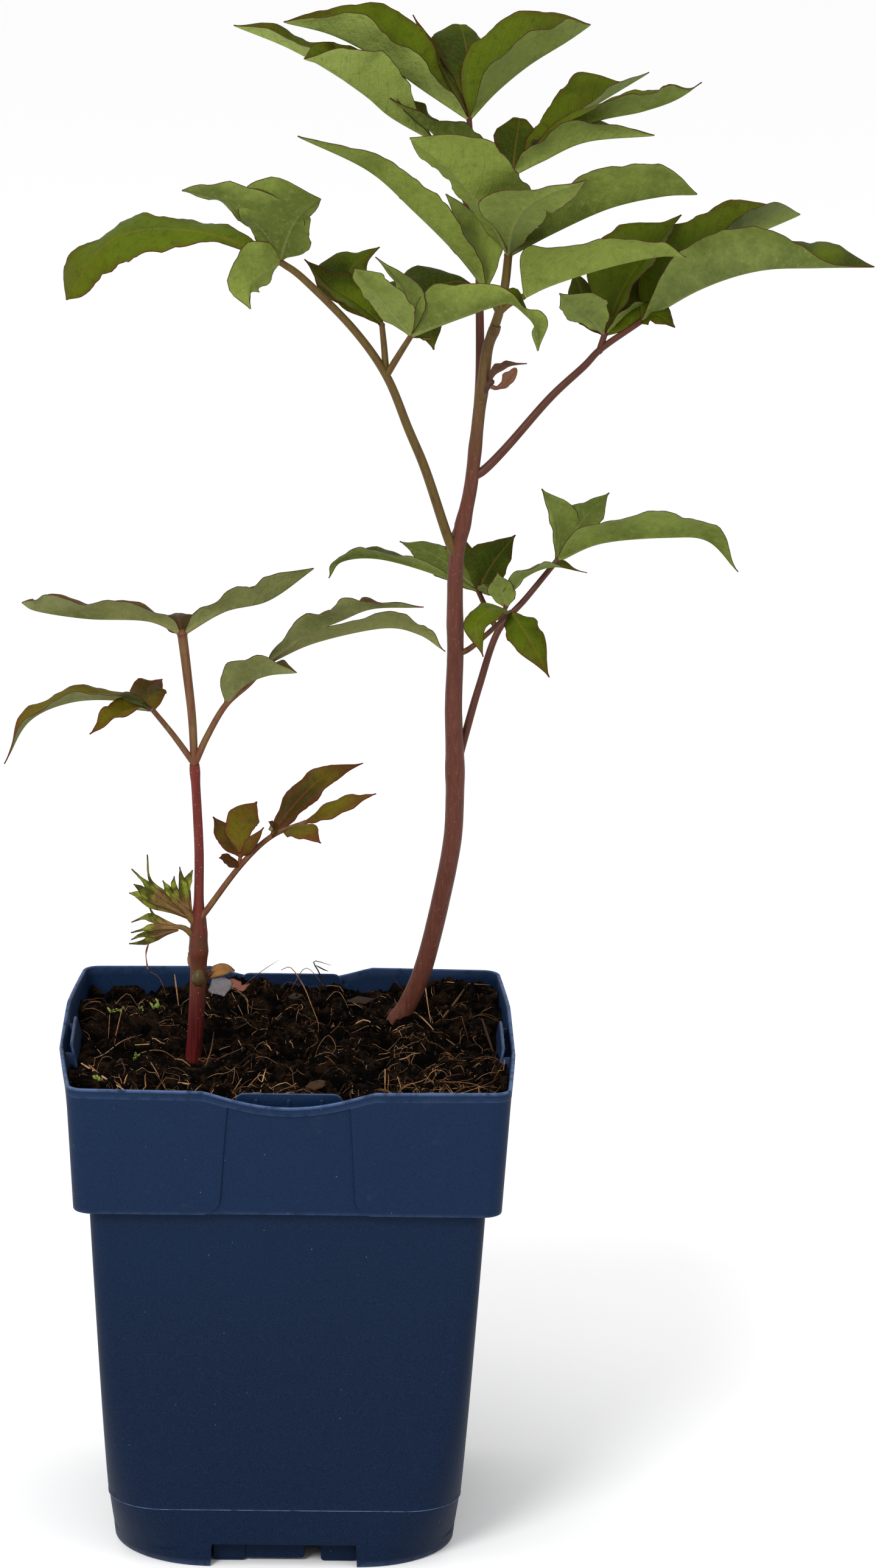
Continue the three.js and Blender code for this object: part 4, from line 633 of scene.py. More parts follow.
GREEN_LEAVES = ("leaf_top", "leaf_crown", "leaf_right", "leaf_left", "leaf_low", "leaf_small")
SHOOT_LEAVES = ("shoot_leaf_top", "shoot_leaf_low")
SPROUTS = ("sprout_upper", "sprout_side")


# Finishes


def maths(operation, swapped=False):
    """Method of a Wire that makes the node for one operation."""

    def made(self, other=None):
        first, second = (other, self) if swapped else (self, other)
        return self.finish.node("ShaderNodeMath", {"operation": operation}, {0: first, 1: second})

    return made


class Wire:
    """A value inside a finish that can be used in sums, products and comparisons."""

    def __init__(self, finish, socket):
        self.finish = finish
        self.socket = socket

    __add__ = maths("ADD")
    __radd__ = maths("ADD", True)
    __sub__ = maths("SUBTRACT")
    __rsub__ = maths("SUBTRACT", True)
    __mul__ = maths("MULTIPLY")
    __rmul__ = maths("MULTIPLY", True)
    __truediv__ = maths("DIVIDE")
    __rtruediv__ = maths("DIVIDE", True)
    __gt__ = maths("GREATER_THAN")
    __lt__ = maths("LESS_THAN")
    __abs__ = maths("ABSOLUTE")
    fraction = maths("FRACT")


class Finish:
    """One material: a Principled shader and the nodes that feed it. A noise's or a cell's scale is
    per metre, a bump's distance is in metres."""

    def __init__(self, name, roughness, gloss, colour):
        self.material = bpy.data.materials.new(name)
        self.material.use_nodes = True
        self.material.diffuse_color = (*colour, 1)
        self.nodes = self.material.node_tree.nodes
        self.links = self.material.node_tree.links
        self.shader = self.nodes["Principled BSDF"]
        self.shader.inputs["Roughness"].default_value = roughness
        self.shader.inputs["Specular IOR Level"].default_value = gloss

    def node(self, kind, settings, inputs, output=0):
        made = self.nodes.new(kind)
        for key, value in settings.items():
            setattr(made, key, value)
        for key, value in inputs.items():
            if isinstance(value, Wire):
                self.links.new(value.socket, made.inputs[key])
            elif value is not None:
                made.inputs[key].default_value = value
        return Wire(self, made.outputs[output])

    def done(self, colour, roughness=None, relief=None, alpha=None):
        """The material, with these wired to its shader."""
        wires = {"Base Color": colour, "Roughness": roughness, "Normal": relief, "Alpha": alpha}
        for socket, wire in wires.items():
            if wire is not None:
                self.links.new(wire.socket, self.shader.inputs[socket])
        return self.material

    def place(self):
        return self.node("ShaderNodeTexCoord", {}, {}, "Object")

    def noise(self, scale, detail=3.0, rough=0.55, vector=None):
        return self.node("ShaderNodeTexNoise", {}, {"Vector": vector or self.place(), "Scale": scale,
                                                    "Detail": detail, "Roughness": rough}, "Fac")

    def streaks(self, across, up, detail, rough=0.6):
        """Noise drawn out upwards: across and up are its scales."""
        place = self.node("ShaderNodeVectorMath", {"operation": "MULTIPLY"},
                          {0: self.place(), 1: (across, across, up)})
        return self.noise(1.0, detail, rough, place)

    def cells(self, scale, feature="F1", output="Distance"):
        return self.node("ShaderNodeTexVoronoi", {"feature": feature},
                         {"Vector": self.place(), "Scale": scale}, output)

    def mark(self, name, output="Vector"):
        return self.node("ShaderNodeAttribute", {"attribute_name": name}, {}, output)

    def split(self, vector):
        parts = self.node("ShaderNodeSeparateXYZ", {}, {0: vector}).socket.node.outputs
        return [Wire(self, part) for part in parts]

    def ease(self, value, low, high):
        """0 below low, 1 above high and a smooth rise between; high may be the lower one."""
        return self.node("ShaderNodeMapRange", {"interpolation_type": "SMOOTHSTEP"},
                         {"Value": value, "From Min": low, "From Max": high}, "Result")

    def patches(self, low, high, *noise):
        return self.ease(self.noise(*noise), low, high)

    def mix(self, share, first, second):
        first, second = (c if isinstance(c, Wire) else (*c, 1) for c in (first, second))
        return self.node("ShaderNodeMix", {"data_type": "RGBA"}, {0: share, 6: first, 7: second}, 2)

    def coats(self, shade, *coats):
        """The shade under further colours, each laid on by its own share."""
        for share, colour in coats:
            shade = self.mix(share, shade, colour)
        return shade

    def ramp(self, value, *stops):
        """Colour that goes through the stops as value goes from 0 to 1."""
        wire = self.node("ShaderNodeValToRGB", {}, {"Fac": value}, "Color")
        ramp = wire.socket.node.color_ramp.elements
        for _ in stops[2:]:
            ramp.new(0.5)
        for element, (place, _) in zip(ramp, stops):
            element.position = place
        for element, (_, colour) in zip(ramp, stops):
            element.color = (*colour, 1)
        return wire

    def specks(self, scale, size, share):
        """1 in small spots, in that share of the cells."""
        spots = self.cells(scale) < size
        return spots * (self.split(self.cells(scale, output="Color"))[0] < share)

    def stripes(self, run):
        """Fine stripes, one for each whole step of run."""
        return self.ease(abs(run.fraction() - 0.5), 0.1, 0.45)

    def bump(self, height, distance, strength, below=None):
        return self.node("ShaderNodeBump", {}, {"Strength": strength, "Distance": distance, "Height": height,
                                                "Normal": below}, "Normal")


def linear(red, green, blue):
    """Shader colour for a colour given as 0 to 255."""
    return tuple(c / 255 / 12.92 if c / 255 <= 0.04045 else ((c / 255 + 0.055) / 1.055) ** 2.4
                 for c in (red, green, blue))


def times(factor, colour):
    return tuple(c * factor for c in colour)


def pot_plastic(settings):
    navy = tuple(settings.plastic)
    finish = Finish("navy_plastic", 0.42, 0.07, navy)
    worn_and_lit, above, _ = finish.split(finish.mark("wear"))
    height = finish.split(finish.place())[2]
    grain = finish.noise(2300, 2, 0.6)
    shade = finish.coats(
        finish.mix(finish.noise(14, 2), times(0.86, navy), times(1.16, navy)),
        # painted light and shade: lighter from 5 cm up and on the collar, darker near the foot, as light
        # falls from above
        (finish.ease(height, 0.05, 0.2) * 0.3 + above * 0.2, linear(18, 38, 66)),
        (finish.patches(0.6, 0.8, 90, 4, 0.7) * (above * 0.5 + 0.06) * 0.25, linear(70, 68, 70)),
        # lighter edges: real rubbing wear, and a painted highlight along the rim and the parting line
        (worn_and_lit * finish.patches(0.2, 0.6, 240) * 0.75, linear(92, 112, 152)),
        (finish.ease(grain, 0.35, 0.75) * 0.26, linear(34, 56, 88)),
        (finish.specks(330, 0.05, 0.1) * 0.5, linear(150, 150, 150)),
    )
    bow = finish.bump(finish.noise(22, 2), 0.0012, 0.25)
    return finish.done(shade, 0.4 + finish.noise(40, 4) * 0.16, finish.bump(grain, 0.0001, 0.6, bow))


def peat_finish(settings):
    dark, warm = tuple(settings.peat), tuple(settings.peat_warm)
    finish = Finish("dark_peat", 0.9, 0.03, dark)
    lumps = finish.noise(130, 6, 0.75)
    grains = finish.noise(1300, 4, 0.7)
    shade = finish.coats(
        finish.mix(finish.ease(lumps, 0.46, 0.62), dark, warm),
        (finish.ease(grains, 0.52, 0.7) * finish.ease(lumps, 0.4, 0.6) * 0.6, times(2.2, warm)),
        (finish.specks(1000, 0.22, 0.12) * 0.9, linear(116, 86, 54)),
        # painted shade: nearly black in the pits, down the soil block's sides and on crumbs lying in pits
        (finish.ease(finish.mark("hollow", "Fac"), 0.3, 0.85) * 0.9, times(0.1, dark)),
    )
    relief = finish.bump(grains, 0.0012, 0.9, finish.bump(lumps, 0.004, 0.7))
    return finish.done(shade, 0.7 + grains * 0.3, relief)


def fibre_finish():
    finish = Finish("dry_fibre", 0.8, 0.15, (0.3, 0.2, 0.1))
    shade = finish.coats(
        finish.ramp(finish.mark("tint", "Fac"), (0.0, linear(24, 16, 11)), (0.35, linear(66, 43, 25)),
                    (0.7, linear(126, 86, 54)), (1.0, linear(186, 146, 104))),
        (finish.patches(0.42, 0.7, 420, 4, 0.7) * 0.7, linear(46, 30, 18)),
    )
    return finish.done(shade, relief=finish.bump(finish.noise(1500), 0.0003, 0.6))


def moss_finish():
    finish = Finish("green_moss", 0.7, 0.25, (0.1, 0.16, 0.03))
    return finish.done(finish.mix(finish.mark("tint", "Fac"), linear(64, 84, 30), linear(142, 156, 66)))


SCAR_HEIGHT = 0.234


def stem_finish(name, low, high, low_z, high_z, pale, dots=0.6, red=0.0):
    """Skin of a stem that turns from one colour into the other on its way up; red is the share of
    red patches, and a stem that has them also has a brown scar."""
    finish = Finish(name, 0.36, 0.12, low)
    height = finish.split(finish.place())[2]
    streak = finish.streaks(900, 26, 4)
    fine = finish.streaks(2600, 90, 3)
    shade = finish.coats(
        finish.mix(finish.ease(height + (streak - 0.5) * 0.05, low_z, high_z), low, high),
        (finish.ease(streak, 0.35, 0.7) * 0.55, times(0.55, low)),
        (finish.ease(fine, 0.5, 0.8) * 0.25, pale),
    )
    if red:
        scar = finish.ease(abs(height - SCAR_HEIGHT), 0.022, 0.006)
        shade = finish.coats(
            shade,
            (finish.ease(finish.streaks(420, 7, 2, 0.5), 0.46, 0.56) * red, linear(112, 34, 34)),
            (scar * finish.patches(0.3, 0.6, 220, 4, 0.7) * 0.8, linear(70, 44, 24)),
        )
    shade = finish.mix(finish.specks(1250, 0.2, 0.1) * dots, shade, linear(186, 160, 130))
    relief = finish.bump(streak, 0.0004, 0.5, finish.bump(fine, 0.00012, 0.6))
    return finish.done(shade, 0.36 + finish.noise(300, 2) * 0.22, relief)


def stalk_finish(name, brown, olive):
    """Skin of a leaf stalk: olive, turning brown as its tint rises, with streaks and darker patches."""
    finish = Finish(name, 0.38, 0.2, brown)
    streak = finish.streaks(700, 60, 3)
    shade = finish.coats(
        finish.mix(finish.ease(finish.mark("tint", "Fac") + (streak - 0.5) * 0.7, 0.3, 0.75), olive, brown),
        (finish.patches(0.5, 0.75, 240, 4) * 0.4, times(0.5, brown)),
    )
    return finish.done(shade, 0.34 + finish.noise(300, 2) * 0.2, finish.bump(streak, 0.0003, 0.45))


def vein_masks(finish, run, vein, s, to_margin):
    """Shares of the side veins, the midrib and the net between them."""
    right = run > 0.0
    wander = (finish.noise(160, 2) - 0.5) * 0.3
    fold = abs((vein + right * 0.5 + wander + 0.5).fraction() - 0.5)
    thin = finish.ease(fold, 0.06, 0.015) * finish.ease(to_margin, 0.3, 3.0)
    midrib = finish.ease(abs(run) + (s - 0.5) * 0.35, 0.55, 0.22)
    return thin, midrib, finish.ease(finish.cells(430, "DISTANCE_TO_EDGE"), 0.09, 0.02)


def leaf_upper(name, dark, light, vein, rib, flush, flush_share):
    """Upper side: deep green, with faint thin veins pressed in and a dark red margin."""
    finish = Finish(name, 0.4, 0.06, dark)
    run, veins, s = finish.split(finish.mark("blade"))
    to_margin, tint, _ = finish.split(finish.mark("edge"))
    thin, midrib, net = vein_masks(finish, run, veins, s, to_margin)
    lighter = finish.noise(46, 3, 0.5) + (tint - 0.5) * 0.45
    bronze = finish.noise(34, 4, 0.6) + (s - 0.6) * 0.5 + (tint - 0.5) * 0.3
    near_edge = finish.ease(to_margin + (finish.noise(120) - 0.5) * 4.0, 3.6, 0.2)
    shade = finish.coats(
        finish.mix(finish.ease(lighter, 0.34, 0.68), dark, light),
        (finish.patches(0.5, 0.3, 300, 4, 0.7) * 0.35, times(0.55, dark)),
        (net * 0.08, vein),
        (thin * 0.15, vein),
        (midrib * 0.35, rib),
        ((finish.ease(bronze, 0.55, 0.85) * 0.45 + near_edge * 0.45) * flush_share, flush),
        (finish.ease(to_margin, 0.42, 0.16), linear(64, 18, 14)),
        (finish.specks(300, 0.08, 0.05) * 0.2, linear(140, 146, 80)),
    )
    relief = finish.bump(1 - net, 0.00016, 0.5, finish.bump(finish.noise(110), 0.0012, 0.7))
    return finish.done(shade, 0.34 + finish.noise(120) * 0.22, finish.bump(1 - thin, 0.0004, 0.6, relief))


def leaf_under(name, dark, light, vein, rib, bloom_share):
    """Underside: paler and duller, with faint raised veins, pale specks and a dark red margin; painted light
    where light would shine through and painted shade towards the midrib.
    """
    finish = Finish(name, 0.55, 0.12, light)
    run, veins, s = finish.split(finish.mark("blade"))
    to_margin, tint, glow = finish.split(finish.mark("edge"))
    thin, midrib, net = vein_masks(finish, run, veins, s, to_margin)
    outwards = abs(run) / (abs(run) + to_margin)
    # painted shade: darker towards the midrib fold and lighter towards the margin
    lighter = finish.noise(36, 5, 0.6) + (tint - 0.5) * 0.6 + (outwards - 0.5) * 0.22
    mottle = finish.noise(420, 4, 0.7)
    freckle = finish.specks(420, 0.17, 0.3) * finish.patches(0.45, 0.65, 60)
    shade = finish.coats(
        finish.mix(finish.ease(lighter, 0.3, 0.7), dark, light),
        # painted light: the underside made paler where light would shine through
        (glow, linear(152, 168, 86)),
        (finish.patches(0.45, 0.75, 18, 2) * bloom_share, linear(108, 118, 84)),
        (finish.ease(mottle, 0.5, 0.3) * 0.3, times(0.62, dark)),
        (finish.ease(mottle, 0.5, 0.72) * 0.26, vein),
        (net * 0.06, vein),
        (thin * 0.14, vein),
        (midrib * 0.3 * finish.ease(s, 1.0, 0.1), rib),
        (finish.ease(to_margin, 0.4, 0.14), linear(66, 26, 20)),
        (freckle * 0.22, linear(150, 160, 90)),
        (finish.specks(420, 0.1, 0.02) * 0.7, linear(56, 40, 24)),
    )
    relief = finish.bump(net, 0.00014, 0.5, finish.bump(finish.noise(110), 0.0012, 0.7))
    return finish.done(shade, 0.46 + finish.noise(110) * 0.2, finish.bump(thin, 0.0004, 0.5, relief))


def bract_finish():
    """Dry papery brown, streaked from base to tip."""
    finish = Finish("dry_bract", 0.6, 0.25, (0.2, 0.1, 0.05))
    run = finish.split(finish.mark("blade"))[0]
    to_margin, tint, _ = finish.split(finish.mark("edge"))
    streak = finish.stripes(run * 2.1 + finish.noise(260) * 3)
    shade = finish.coats(
        finish.ramp(tint, (0.0, linear(56, 36, 24)), (0.3, linear(100, 66, 42)), (0.45, linear(120, 70, 56)),
                    (0.7, linear(134, 92, 40)), (1.0, linear(128, 124, 128))),
        (streak * 0.22, linear(50, 32, 26)),
        (finish.patches(0.45, 0.75, 260, 4) * 0.5, linear(80, 50, 36)),
        (finish.ease(to_margin, 0.5, 0.1) * 0.6, linear(60, 32, 26)),
    )
    relief = finish.bump(streak, 0.00008, 0.4, finish.bump(finish.noise(420), 0.0005, 0.6))
    return finish.done(shade, None, relief, 1 - finish.ease(tint, 0.8, 1.0) * (0.35 + streak * 0.3))


def sprout_finish():
    """Unopened leaf: green with a tan base, brown tips and a dark margin."""
    finish = Finish("sprout_green", 0.4, 0.1, (0.1, 0.11, 0.02))
    run, _, s = finish.split(finish.mark("blade"))
    to_margin, tint, _ = finish.split(finish.mark("edge"))
    streak = finish.stripes(run * 1.3 + finish.noise(220) * 2)
    lighter = finish.noise(240, 4) + (tint - 0.5) * 0.2
    shade = finish.coats(
        finish.mix(finish.ease(lighter, 0.38, 0.62), linear(58, 62, 12), linear(122, 128, 40)),
        (finish.ease(s + (finish.noise(160) - 0.5) * 0.5, 0.55, 0.1) * 0.8, linear(132, 94, 62)),
        (finish.ease(s, 0.7, 1.0) * 0.55, linear(74, 48, 36)),
        (streak * 0.22, linear(52, 42, 16)),
        (finish.ease(to_margin, 0.3, 0.08) * 0.85, linear(52, 28, 20)),
    )
    return finish.done(shade, relief=finish.bump(streak, 0.0003, 0.6))


# Pot sizes

POT_HEIGHT = 200.0
RIM_HALF = 85.0
COLLAR_BOTTOM_Z = 149.2
COLLAR_BOTTOM_HALF = 82.1
PARTING_Z = 24.3
PARTING_HALF = 69.2
FOOT_HALF = 67.0
BODY_TOP_HALF = 76.2
WALL = 1.5
BASE_Z = 9.4
BASE_TOP_Z = BASE_Z + 2
COLLAR_CORNER = 7.0
BODY_CORNER = 6.0
FOOT_CORNER = 39.0
CORNER_FALL = 35.0
CORNER_POINTS = 10
STRAIGHT_POINTS = 5
# How far the wall bows out at the front, right, back and left
SIDE_BOW = (2.0, 3.5, 2.0, 5.5)
SIDE_TURNS = [side * math.pi / 2 for side in range(4)]
PANEL_RECESS = 1.0
PANEL_HALF_TOP = 23.0
PANEL_HALF_BOTTOM = 26.0
PANEL_CORNER = 5.5
LIP_HEIGHT = 3.6
RIM_DIP = 6.0
RIM_DIP_HALF = 33.0
POCKET_HALF = 20.5
POCKET_SLOT = 2.4
POCKET_WALL = 1.3
POCKET_RIB_SPACING = 12.5
POCKET_TOP_Z = POT_HEIGHT - 1.7
POCKET_BOTTOM_Z = POT_HEIGHT - 19
# Ends along the side and lower edge of each rib behind a foot opening
FOOT_RIBS = ((-27.7, -15.0, 0.4), (-15.0, 8.1, 1.3), (14.5, 28.5, 0.4))
FOOT_RIB_INSET = 6.0
FOOT_RIB_THICKNESS = 1.8
BOSS_RADIUS = 9.0
BOSS_WALL = 2.3
BOSS_POINTS = 48
DRAIN_COUNT = 8
DRAIN_CIRCLE = 44.0
DRAIN_RADIUS = 5.0
DRAIN_POINTS = 24
NOTCH_HALF = 28.4
BODY_STATIONS = [0, 4, 8, 12, 16, 20, 22, 24, 26.5, 27.6, 28.2, 28.6, 29.4, 30.5, 32, 34]
COLLAR_STEPS = [0, 4, 8, 12, 16, 19]
PANEL_STEPS = [-2.5, -1, -0.25, 0.25, 0.8, 1.8, 3.5, 6.5, 10, 14]
PANEL_DEPTHS = [1, 1, 1, 0.12, 0.02, 0, 0, 0, 0, 0]


def from_side(side, along_side, out, z):
    """Points given along a side and out from the pot's axis: side 0 front, 1 right, 2 back, 3 left."""
    turn = SIDE_TURNS[side]
    a, out = np.asarray(along_side, float), np.asarray(out, float)
    return np.stack(np.broadcast_arrays(a * math.cos(turn) + out * math.sin(turn),
                                        a * math.sin(turn) - out * math.cos(turn), np.asarray(z, float)), -1)


def pot_ring(z, half, corner, stations, recess=0.0, lower=0.0, floor_z=0.0, bow=0.0):
    """Ring of a rounded square at height z. recess and lower say for each station how far it lies
    in and down; floor_z lifts the ring's middle part, where the foot is cut away."""
    stations = np.asarray(stations, float)
    edge = half - corner
    start = math.asin(min(max(stations[-1] - edge, 0) / corner, 0.7))
    straight = np.linspace(stations[-1], edge, STRAIGHT_POINTS)[1:] if stations[-1] < edge else np.zeros(0)
    flat = np.concatenate([stations, straight])
    bend = np.linspace(start, math.pi / 4, CORNER_POINTS - len(straight))[1:]
    spare = len(flat) - len(stations) + len(bend)
    a = np.concatenate([flat, edge + corner * np.sin(bend)])
    over = np.clip((flat - edge) / corner, 0, 1)
    out = np.concatenate([edge + corner * np.sqrt(1 - over**2), edge + corner * np.cos(bend)])
    recess, lower = (np.pad(np.broadcast_to(part, stations.shape), (0, spare)) for part in (recess, lower))
    swell = np.pad(np.cos(np.pi * np.clip(flat / (2 * edge), 0, 0.5)), (0, len(bend)))
    level = np.where(a <= NOTCH_HALF, np.maximum(z - lower, floor_z), z - lower)

    def mirrored(half_side):
        return np.concatenate([half_side[::-1], half_side[1:-1]])

    return np.vstack([from_side(side, np.concatenate([-a[::-1], a[1:-1]]),
                                mirrored(out - recess + bow * SIDE_BOW[side] * swell), mirrored(level))
                      for side in range(4)])


def body_half(z):
    if z < PARTING_Z:
        return FOOT_HALF + (PARTING_HALF - FOOT_HALF) * z / PARTING_Z
    return PARTING_HALF + (BODY_TOP_HALF - PARTING_HALF) * (z - PARTING_Z) / (COLLAR_BOTTOM_Z - PARTING_Z)


def body_ring(z, inset, floor_z=0.0):
    corner = BODY_CORNER + (FOOT_CORNER - BODY_CORNER) * math.exp(-z / CORNER_FALL)
    return pot_ring(z, body_half(z) - inset, max(corner - inset * 0.5, 1), BODY_STATIONS, floor_z=floor_z)


def up_collar(z):
    """Share of the way up the collar."""
    return (z - COLLAR_BOTTOM_Z) / (POT_HEIGHT - COLLAR_BOTTOM_Z)


def collar_half(z):
    return COLLAR_BOTTOM_HALF + (RIM_HALF - COLLAR_BOTTOM_HALF) * up_collar(z)


def collar_ring(z, inset, recessed=True, fade=0.0):
    """Collar ring; fade is how much of the rim's dip it follows."""
    up = max(0.0, up_collar(z))
    rounding = PANEL_CORNER * max(0, 1 - (z - COLLAR_BOTTOM_Z) / PANEL_CORNER) ** 2
    panel = PANEL_HALF_BOTTOM + (PANEL_HALF_TOP - PANEL_HALF_BOTTOM) * up + rounding
    stations = np.array(COLLAR_STEPS + [panel + step for step in PANEL_STEPS])
    depth = np.array([1] * len(COLLAR_STEPS) + PANEL_DEPTHS) * (PANEL_RECESS if recessed else 0)
    dip = RIM_DIP * np.clip(1 - (stations / RIM_DIP_HALF) ** 2, 0, 1) ** 1.2
    return pot_ring(z, collar_half(z) - inset, COLLAR_CORNER - inset * 0.8, stations, depth, fade * dip,
                    bow=up * up)


def join_rings(shape, rings, wear, above, closed=True):
    """Skin through the rings; the third argument gives for each how rubbed it is and how strongly a painted
    highlight lies on it, and above is 1 on the collar.
    """
    count = len(rings[0])
    marks = np.stack([np.repeat(wear, count), np.repeat(above, count), np.zeros(count * len(rings))], -1)
    shape.add(np.vstack(rings), ring_faces(len(rings), count, closed), wear=marks)


def pot_shell(shape):
    """One closed skin: under the base, over the foot, body, collar and rim, and down inside."""
    low, top, parting = COLLAR_BOTTOM_Z, POT_HEIGHT, PARTING_Z
    lip = top - LIP_HEIGHT
    # Body rings: height, inset, floor, and how rubbed and lit by a painted highlight
    outside = [(BASE_Z, WALL, BASE_Z, 0), (0.4, WALL, BASE_Z, 0), (0, WALL - 0.4, BASE_Z, 0.3),
               (0, 0.4, BASE_Z, 0.3), (0.4, 0, BASE_Z, 0.3)]
    outside += [(z, 0.3 * min(z / 8, 1), BASE_Z, 0) for z in (3.0, 6.0, 8.6, BASE_Z, 13, 18, parting - 0.6)]
    outside += [(parting - 0.25, 0.3, 0, 0), (parting - 0.1, -0.12, 0, 0.8), (parting + 0.1, -0.12, 0, 0.8)]
    outside += [(z, 0, 0, 0) for z in (parting + 0.3, 28, 34, 42, 52, 64, 78, 94, 112, 130, low - 1.5,
                                       low + 0.6)]
    inside = [(z, WALL, BASE_TOP_Z, 0) for z in (low - 2, 100, 60, 30, BASE_TOP_Z)]
    # Collar rings: height, inset, recessed panels or not, share of the rim's dip, and how rubbed and lit by a
    # painted highlight
    collar = [(low + 0.6, 1.6, True, 0, 0), (low + 0.1, 1.2, True, 0, 0.1), (low, 0.7, True, 0, 0.15),
              (low + 0.25, 0.2, True, 0, 0.25), (low + 0.8, 0, True, 0, 0.1)]
    collar += [(z, 0, True, 0, 0) for z in (151, 152.2, 153.4, 154.8, 158, 164, 171, 178)]
    collar += [(183, 0, True, 0.2, 0), (187, 0, True, 0.45, 0), (190.5, 0, True, 0.75, 0),
               (193.5, 0, True, 0.94, 0), (lip - 0.25, 0, True, 1, 0)]
    collar += [(lip, 0, False, 1, 0.2), (lip + 0.5, -0.1, False, 1, 0.1), (top - 1.2, 0, False, 1, 0),
               (top - 0.35, 0.05, False, 1, 0.6), (top, 0.45, False, 1, 1), (top, WALL - 0.4, False, 1, 0.7),
               (top - 0.4, WALL, False, 1, 0.2), (lip, WALL, False, 1, 0)]
    collar += [(lip - 1, WALL, True, 1, 0), (190, WALL, True, 0.75, 0), (183, WALL, True, 0.2, 0),
               (170, WALL, True, 0, 0), (low + 1.6, WALL, True, 0, 0)]
    rows = outside + collar + inside
    rings = [collar_ring(*row[:-1]) if len(row) == 5 else body_ring(*row[:-1]) for row in rows]
    join_rings(shape, rings, [row[-1] for row in rows], [int(len(row) == 5) for row in rows], False)
    pierced_base(shape, rings[0], rings[-1])


def pierced_base(shape, under, inside):
    """The two faces of the base with a circle of drain holes through both."""
    turn = turns(DRAIN_POINTS)
    holes = []
    for k in range(DRAIN_COUNT):
        place = (k + 0.5) / DRAIN_COUNT * FULL_TURN
        x = DRAIN_CIRCLE * math.cos(place) + DRAIN_RADIUS * np.cos(turn)
        y = DRAIN_CIRCLE * math.sin(place) + DRAIN_RADIUS * np.sin(turn)
        holes.append(np.stack([x, y, 0 * turn], -1))
    levels = [[0, 0, ring[0][2]] for ring in (under, inside)]
    for ring, level in zip((under, inside), levels):
        loops = [ring] + [hole + level for hole in holes]
        faces = tessellate_polygon([[Vector(point) for point in loop] for loop in loops])
        shape.add(np.vstack(loops), faces, wear=[0, 0, 0])
    for hole in holes:
        walls = np.vstack([hole + level for level in levels])
        shape.add(walls, ring_faces(2, len(turn), False), wear=[0, 0, 0])


def add_slab(shape, outline, side, near, far, edge, worn_and_lit, high=1.0, lean=0.0):
    """Plate cut to an outline given along a side and up, between two distances from the axis,
    with its edges taken off; it leans out by that share of its height up to the rim."""
    outline = np.asarray(outline, float)
    before, after = np.roll(outline, 1, 0), np.roll(outline, -1, 0)
    run = unit(after - before)
    inward = np.stack([-run[:, 1], run[:, 0]], -1)
    area = np.sum(outline[:, 0] * after[:, 1] - after[:, 0] * outline[:, 1])
    inward = inward if area > 0 else -inward
    small = outline + inward * edge
    rings = [from_side(side, flat[:, 0], out + lean * (flat[:, 1] - POT_HEIGHT), flat[:, 1])
             for flat, out in ((small, near), (outline, near + edge), (outline, far - edge), (small, far))]
    join_rings(shape, rings, [0.0, worn_and_lit, worn_and_lit, 0.0], [high] * 4)


def rounded(a0, a1, z0, z1, radius, steps=4):
    """Upright oblong outline with its upper corners rounded."""
    turn = np.linspace(0, math.pi / 2, steps + 1)
    right = [(a1 - radius + radius * math.cos(t), z1 - radius + radius * math.sin(t)) for t in turn]
    left = [(a0 + radius - radius * math.sin(t), z1 - radius + radius * math.cos(t)) for t in turn]
    return [(a0, z0), (a1, z0), *right, *left]


def pot_pocket(shape, side):
    """Slot for a label behind the dipped lip: a thin inner wall with three ribs, its ends and floor."""
    lip = collar_half(POT_HEIGHT) - WALL + 0.95 * SIDE_BOW[side]
    lean = (RIM_HALF - COLLAR_BOTTOM_HALF + 1.6 * SIDE_BOW[side]) / (POT_HEIGHT - COLLAR_BOTTOM_Z)
    front = lip - POCKET_SLOT
    wall = rounded(-POCKET_HALF, POCKET_HALF, POCKET_BOTTOM_Z, POCKET_TOP_Z, 3.4)
    add_slab(shape, wall, side, front - POCKET_WALL, front, 0.4, 0.5, lean=lean)
    for step in (-1, 0, 1):
        a = step * POCKET_RIB_SPACING
        rib = rounded(a - 0.65, a + 0.65, POCKET_BOTTOM_Z + 1, POT_HEIGHT - 3.9, 0.4, 2)
        add_slab(shape, rib, side, front - 0.3, front + 0.8, 0.2, 0.3, lean=lean)
    for end in (-1, 1):
        a = end * (POCKET_HALF - 0.8)
        cheek = rounded(a - 0.7, a + 0.7, POCKET_BOTTOM_Z + 1, POT_HEIGHT - 5.4, 0.5, 2)
        add_slab(shape, cheek, side, front - 0.4, lip + 0.4, 0.2, 0.2, lean=lean)
    half = POCKET_HALF - 0.6
    floor = rounded(-half, half, POCKET_BOTTOM_Z + 2, POCKET_BOTTOM_Z + 3.4, 0.3, 2)
    add_slab(shape, floor, side, front - 0.4, lip - 0.2, 0.2, 0.0, lean=lean)


def pot_foot(shape, side):
    """Ribs that stand behind the notch on each side and carry the base."""
    top = BASE_Z + 0.6
    for a0, a1, bottom in FOOT_RIBS:
        far = FOOT_HALF - FOOT_RIB_INSET - 0.2 * bottom
        outline = [(a, min(top - z + bottom, top)) for a, z in rounded(a0, a1, 0.0, top, 1.2)]
        outline = [(a, z if z > bottom + 0.01 else bottom) for a, z in outline]
        add_slab(shape, outline, side, far - FOOT_RIB_THICKNESS, far, 0.3, 0.1, 0.0)


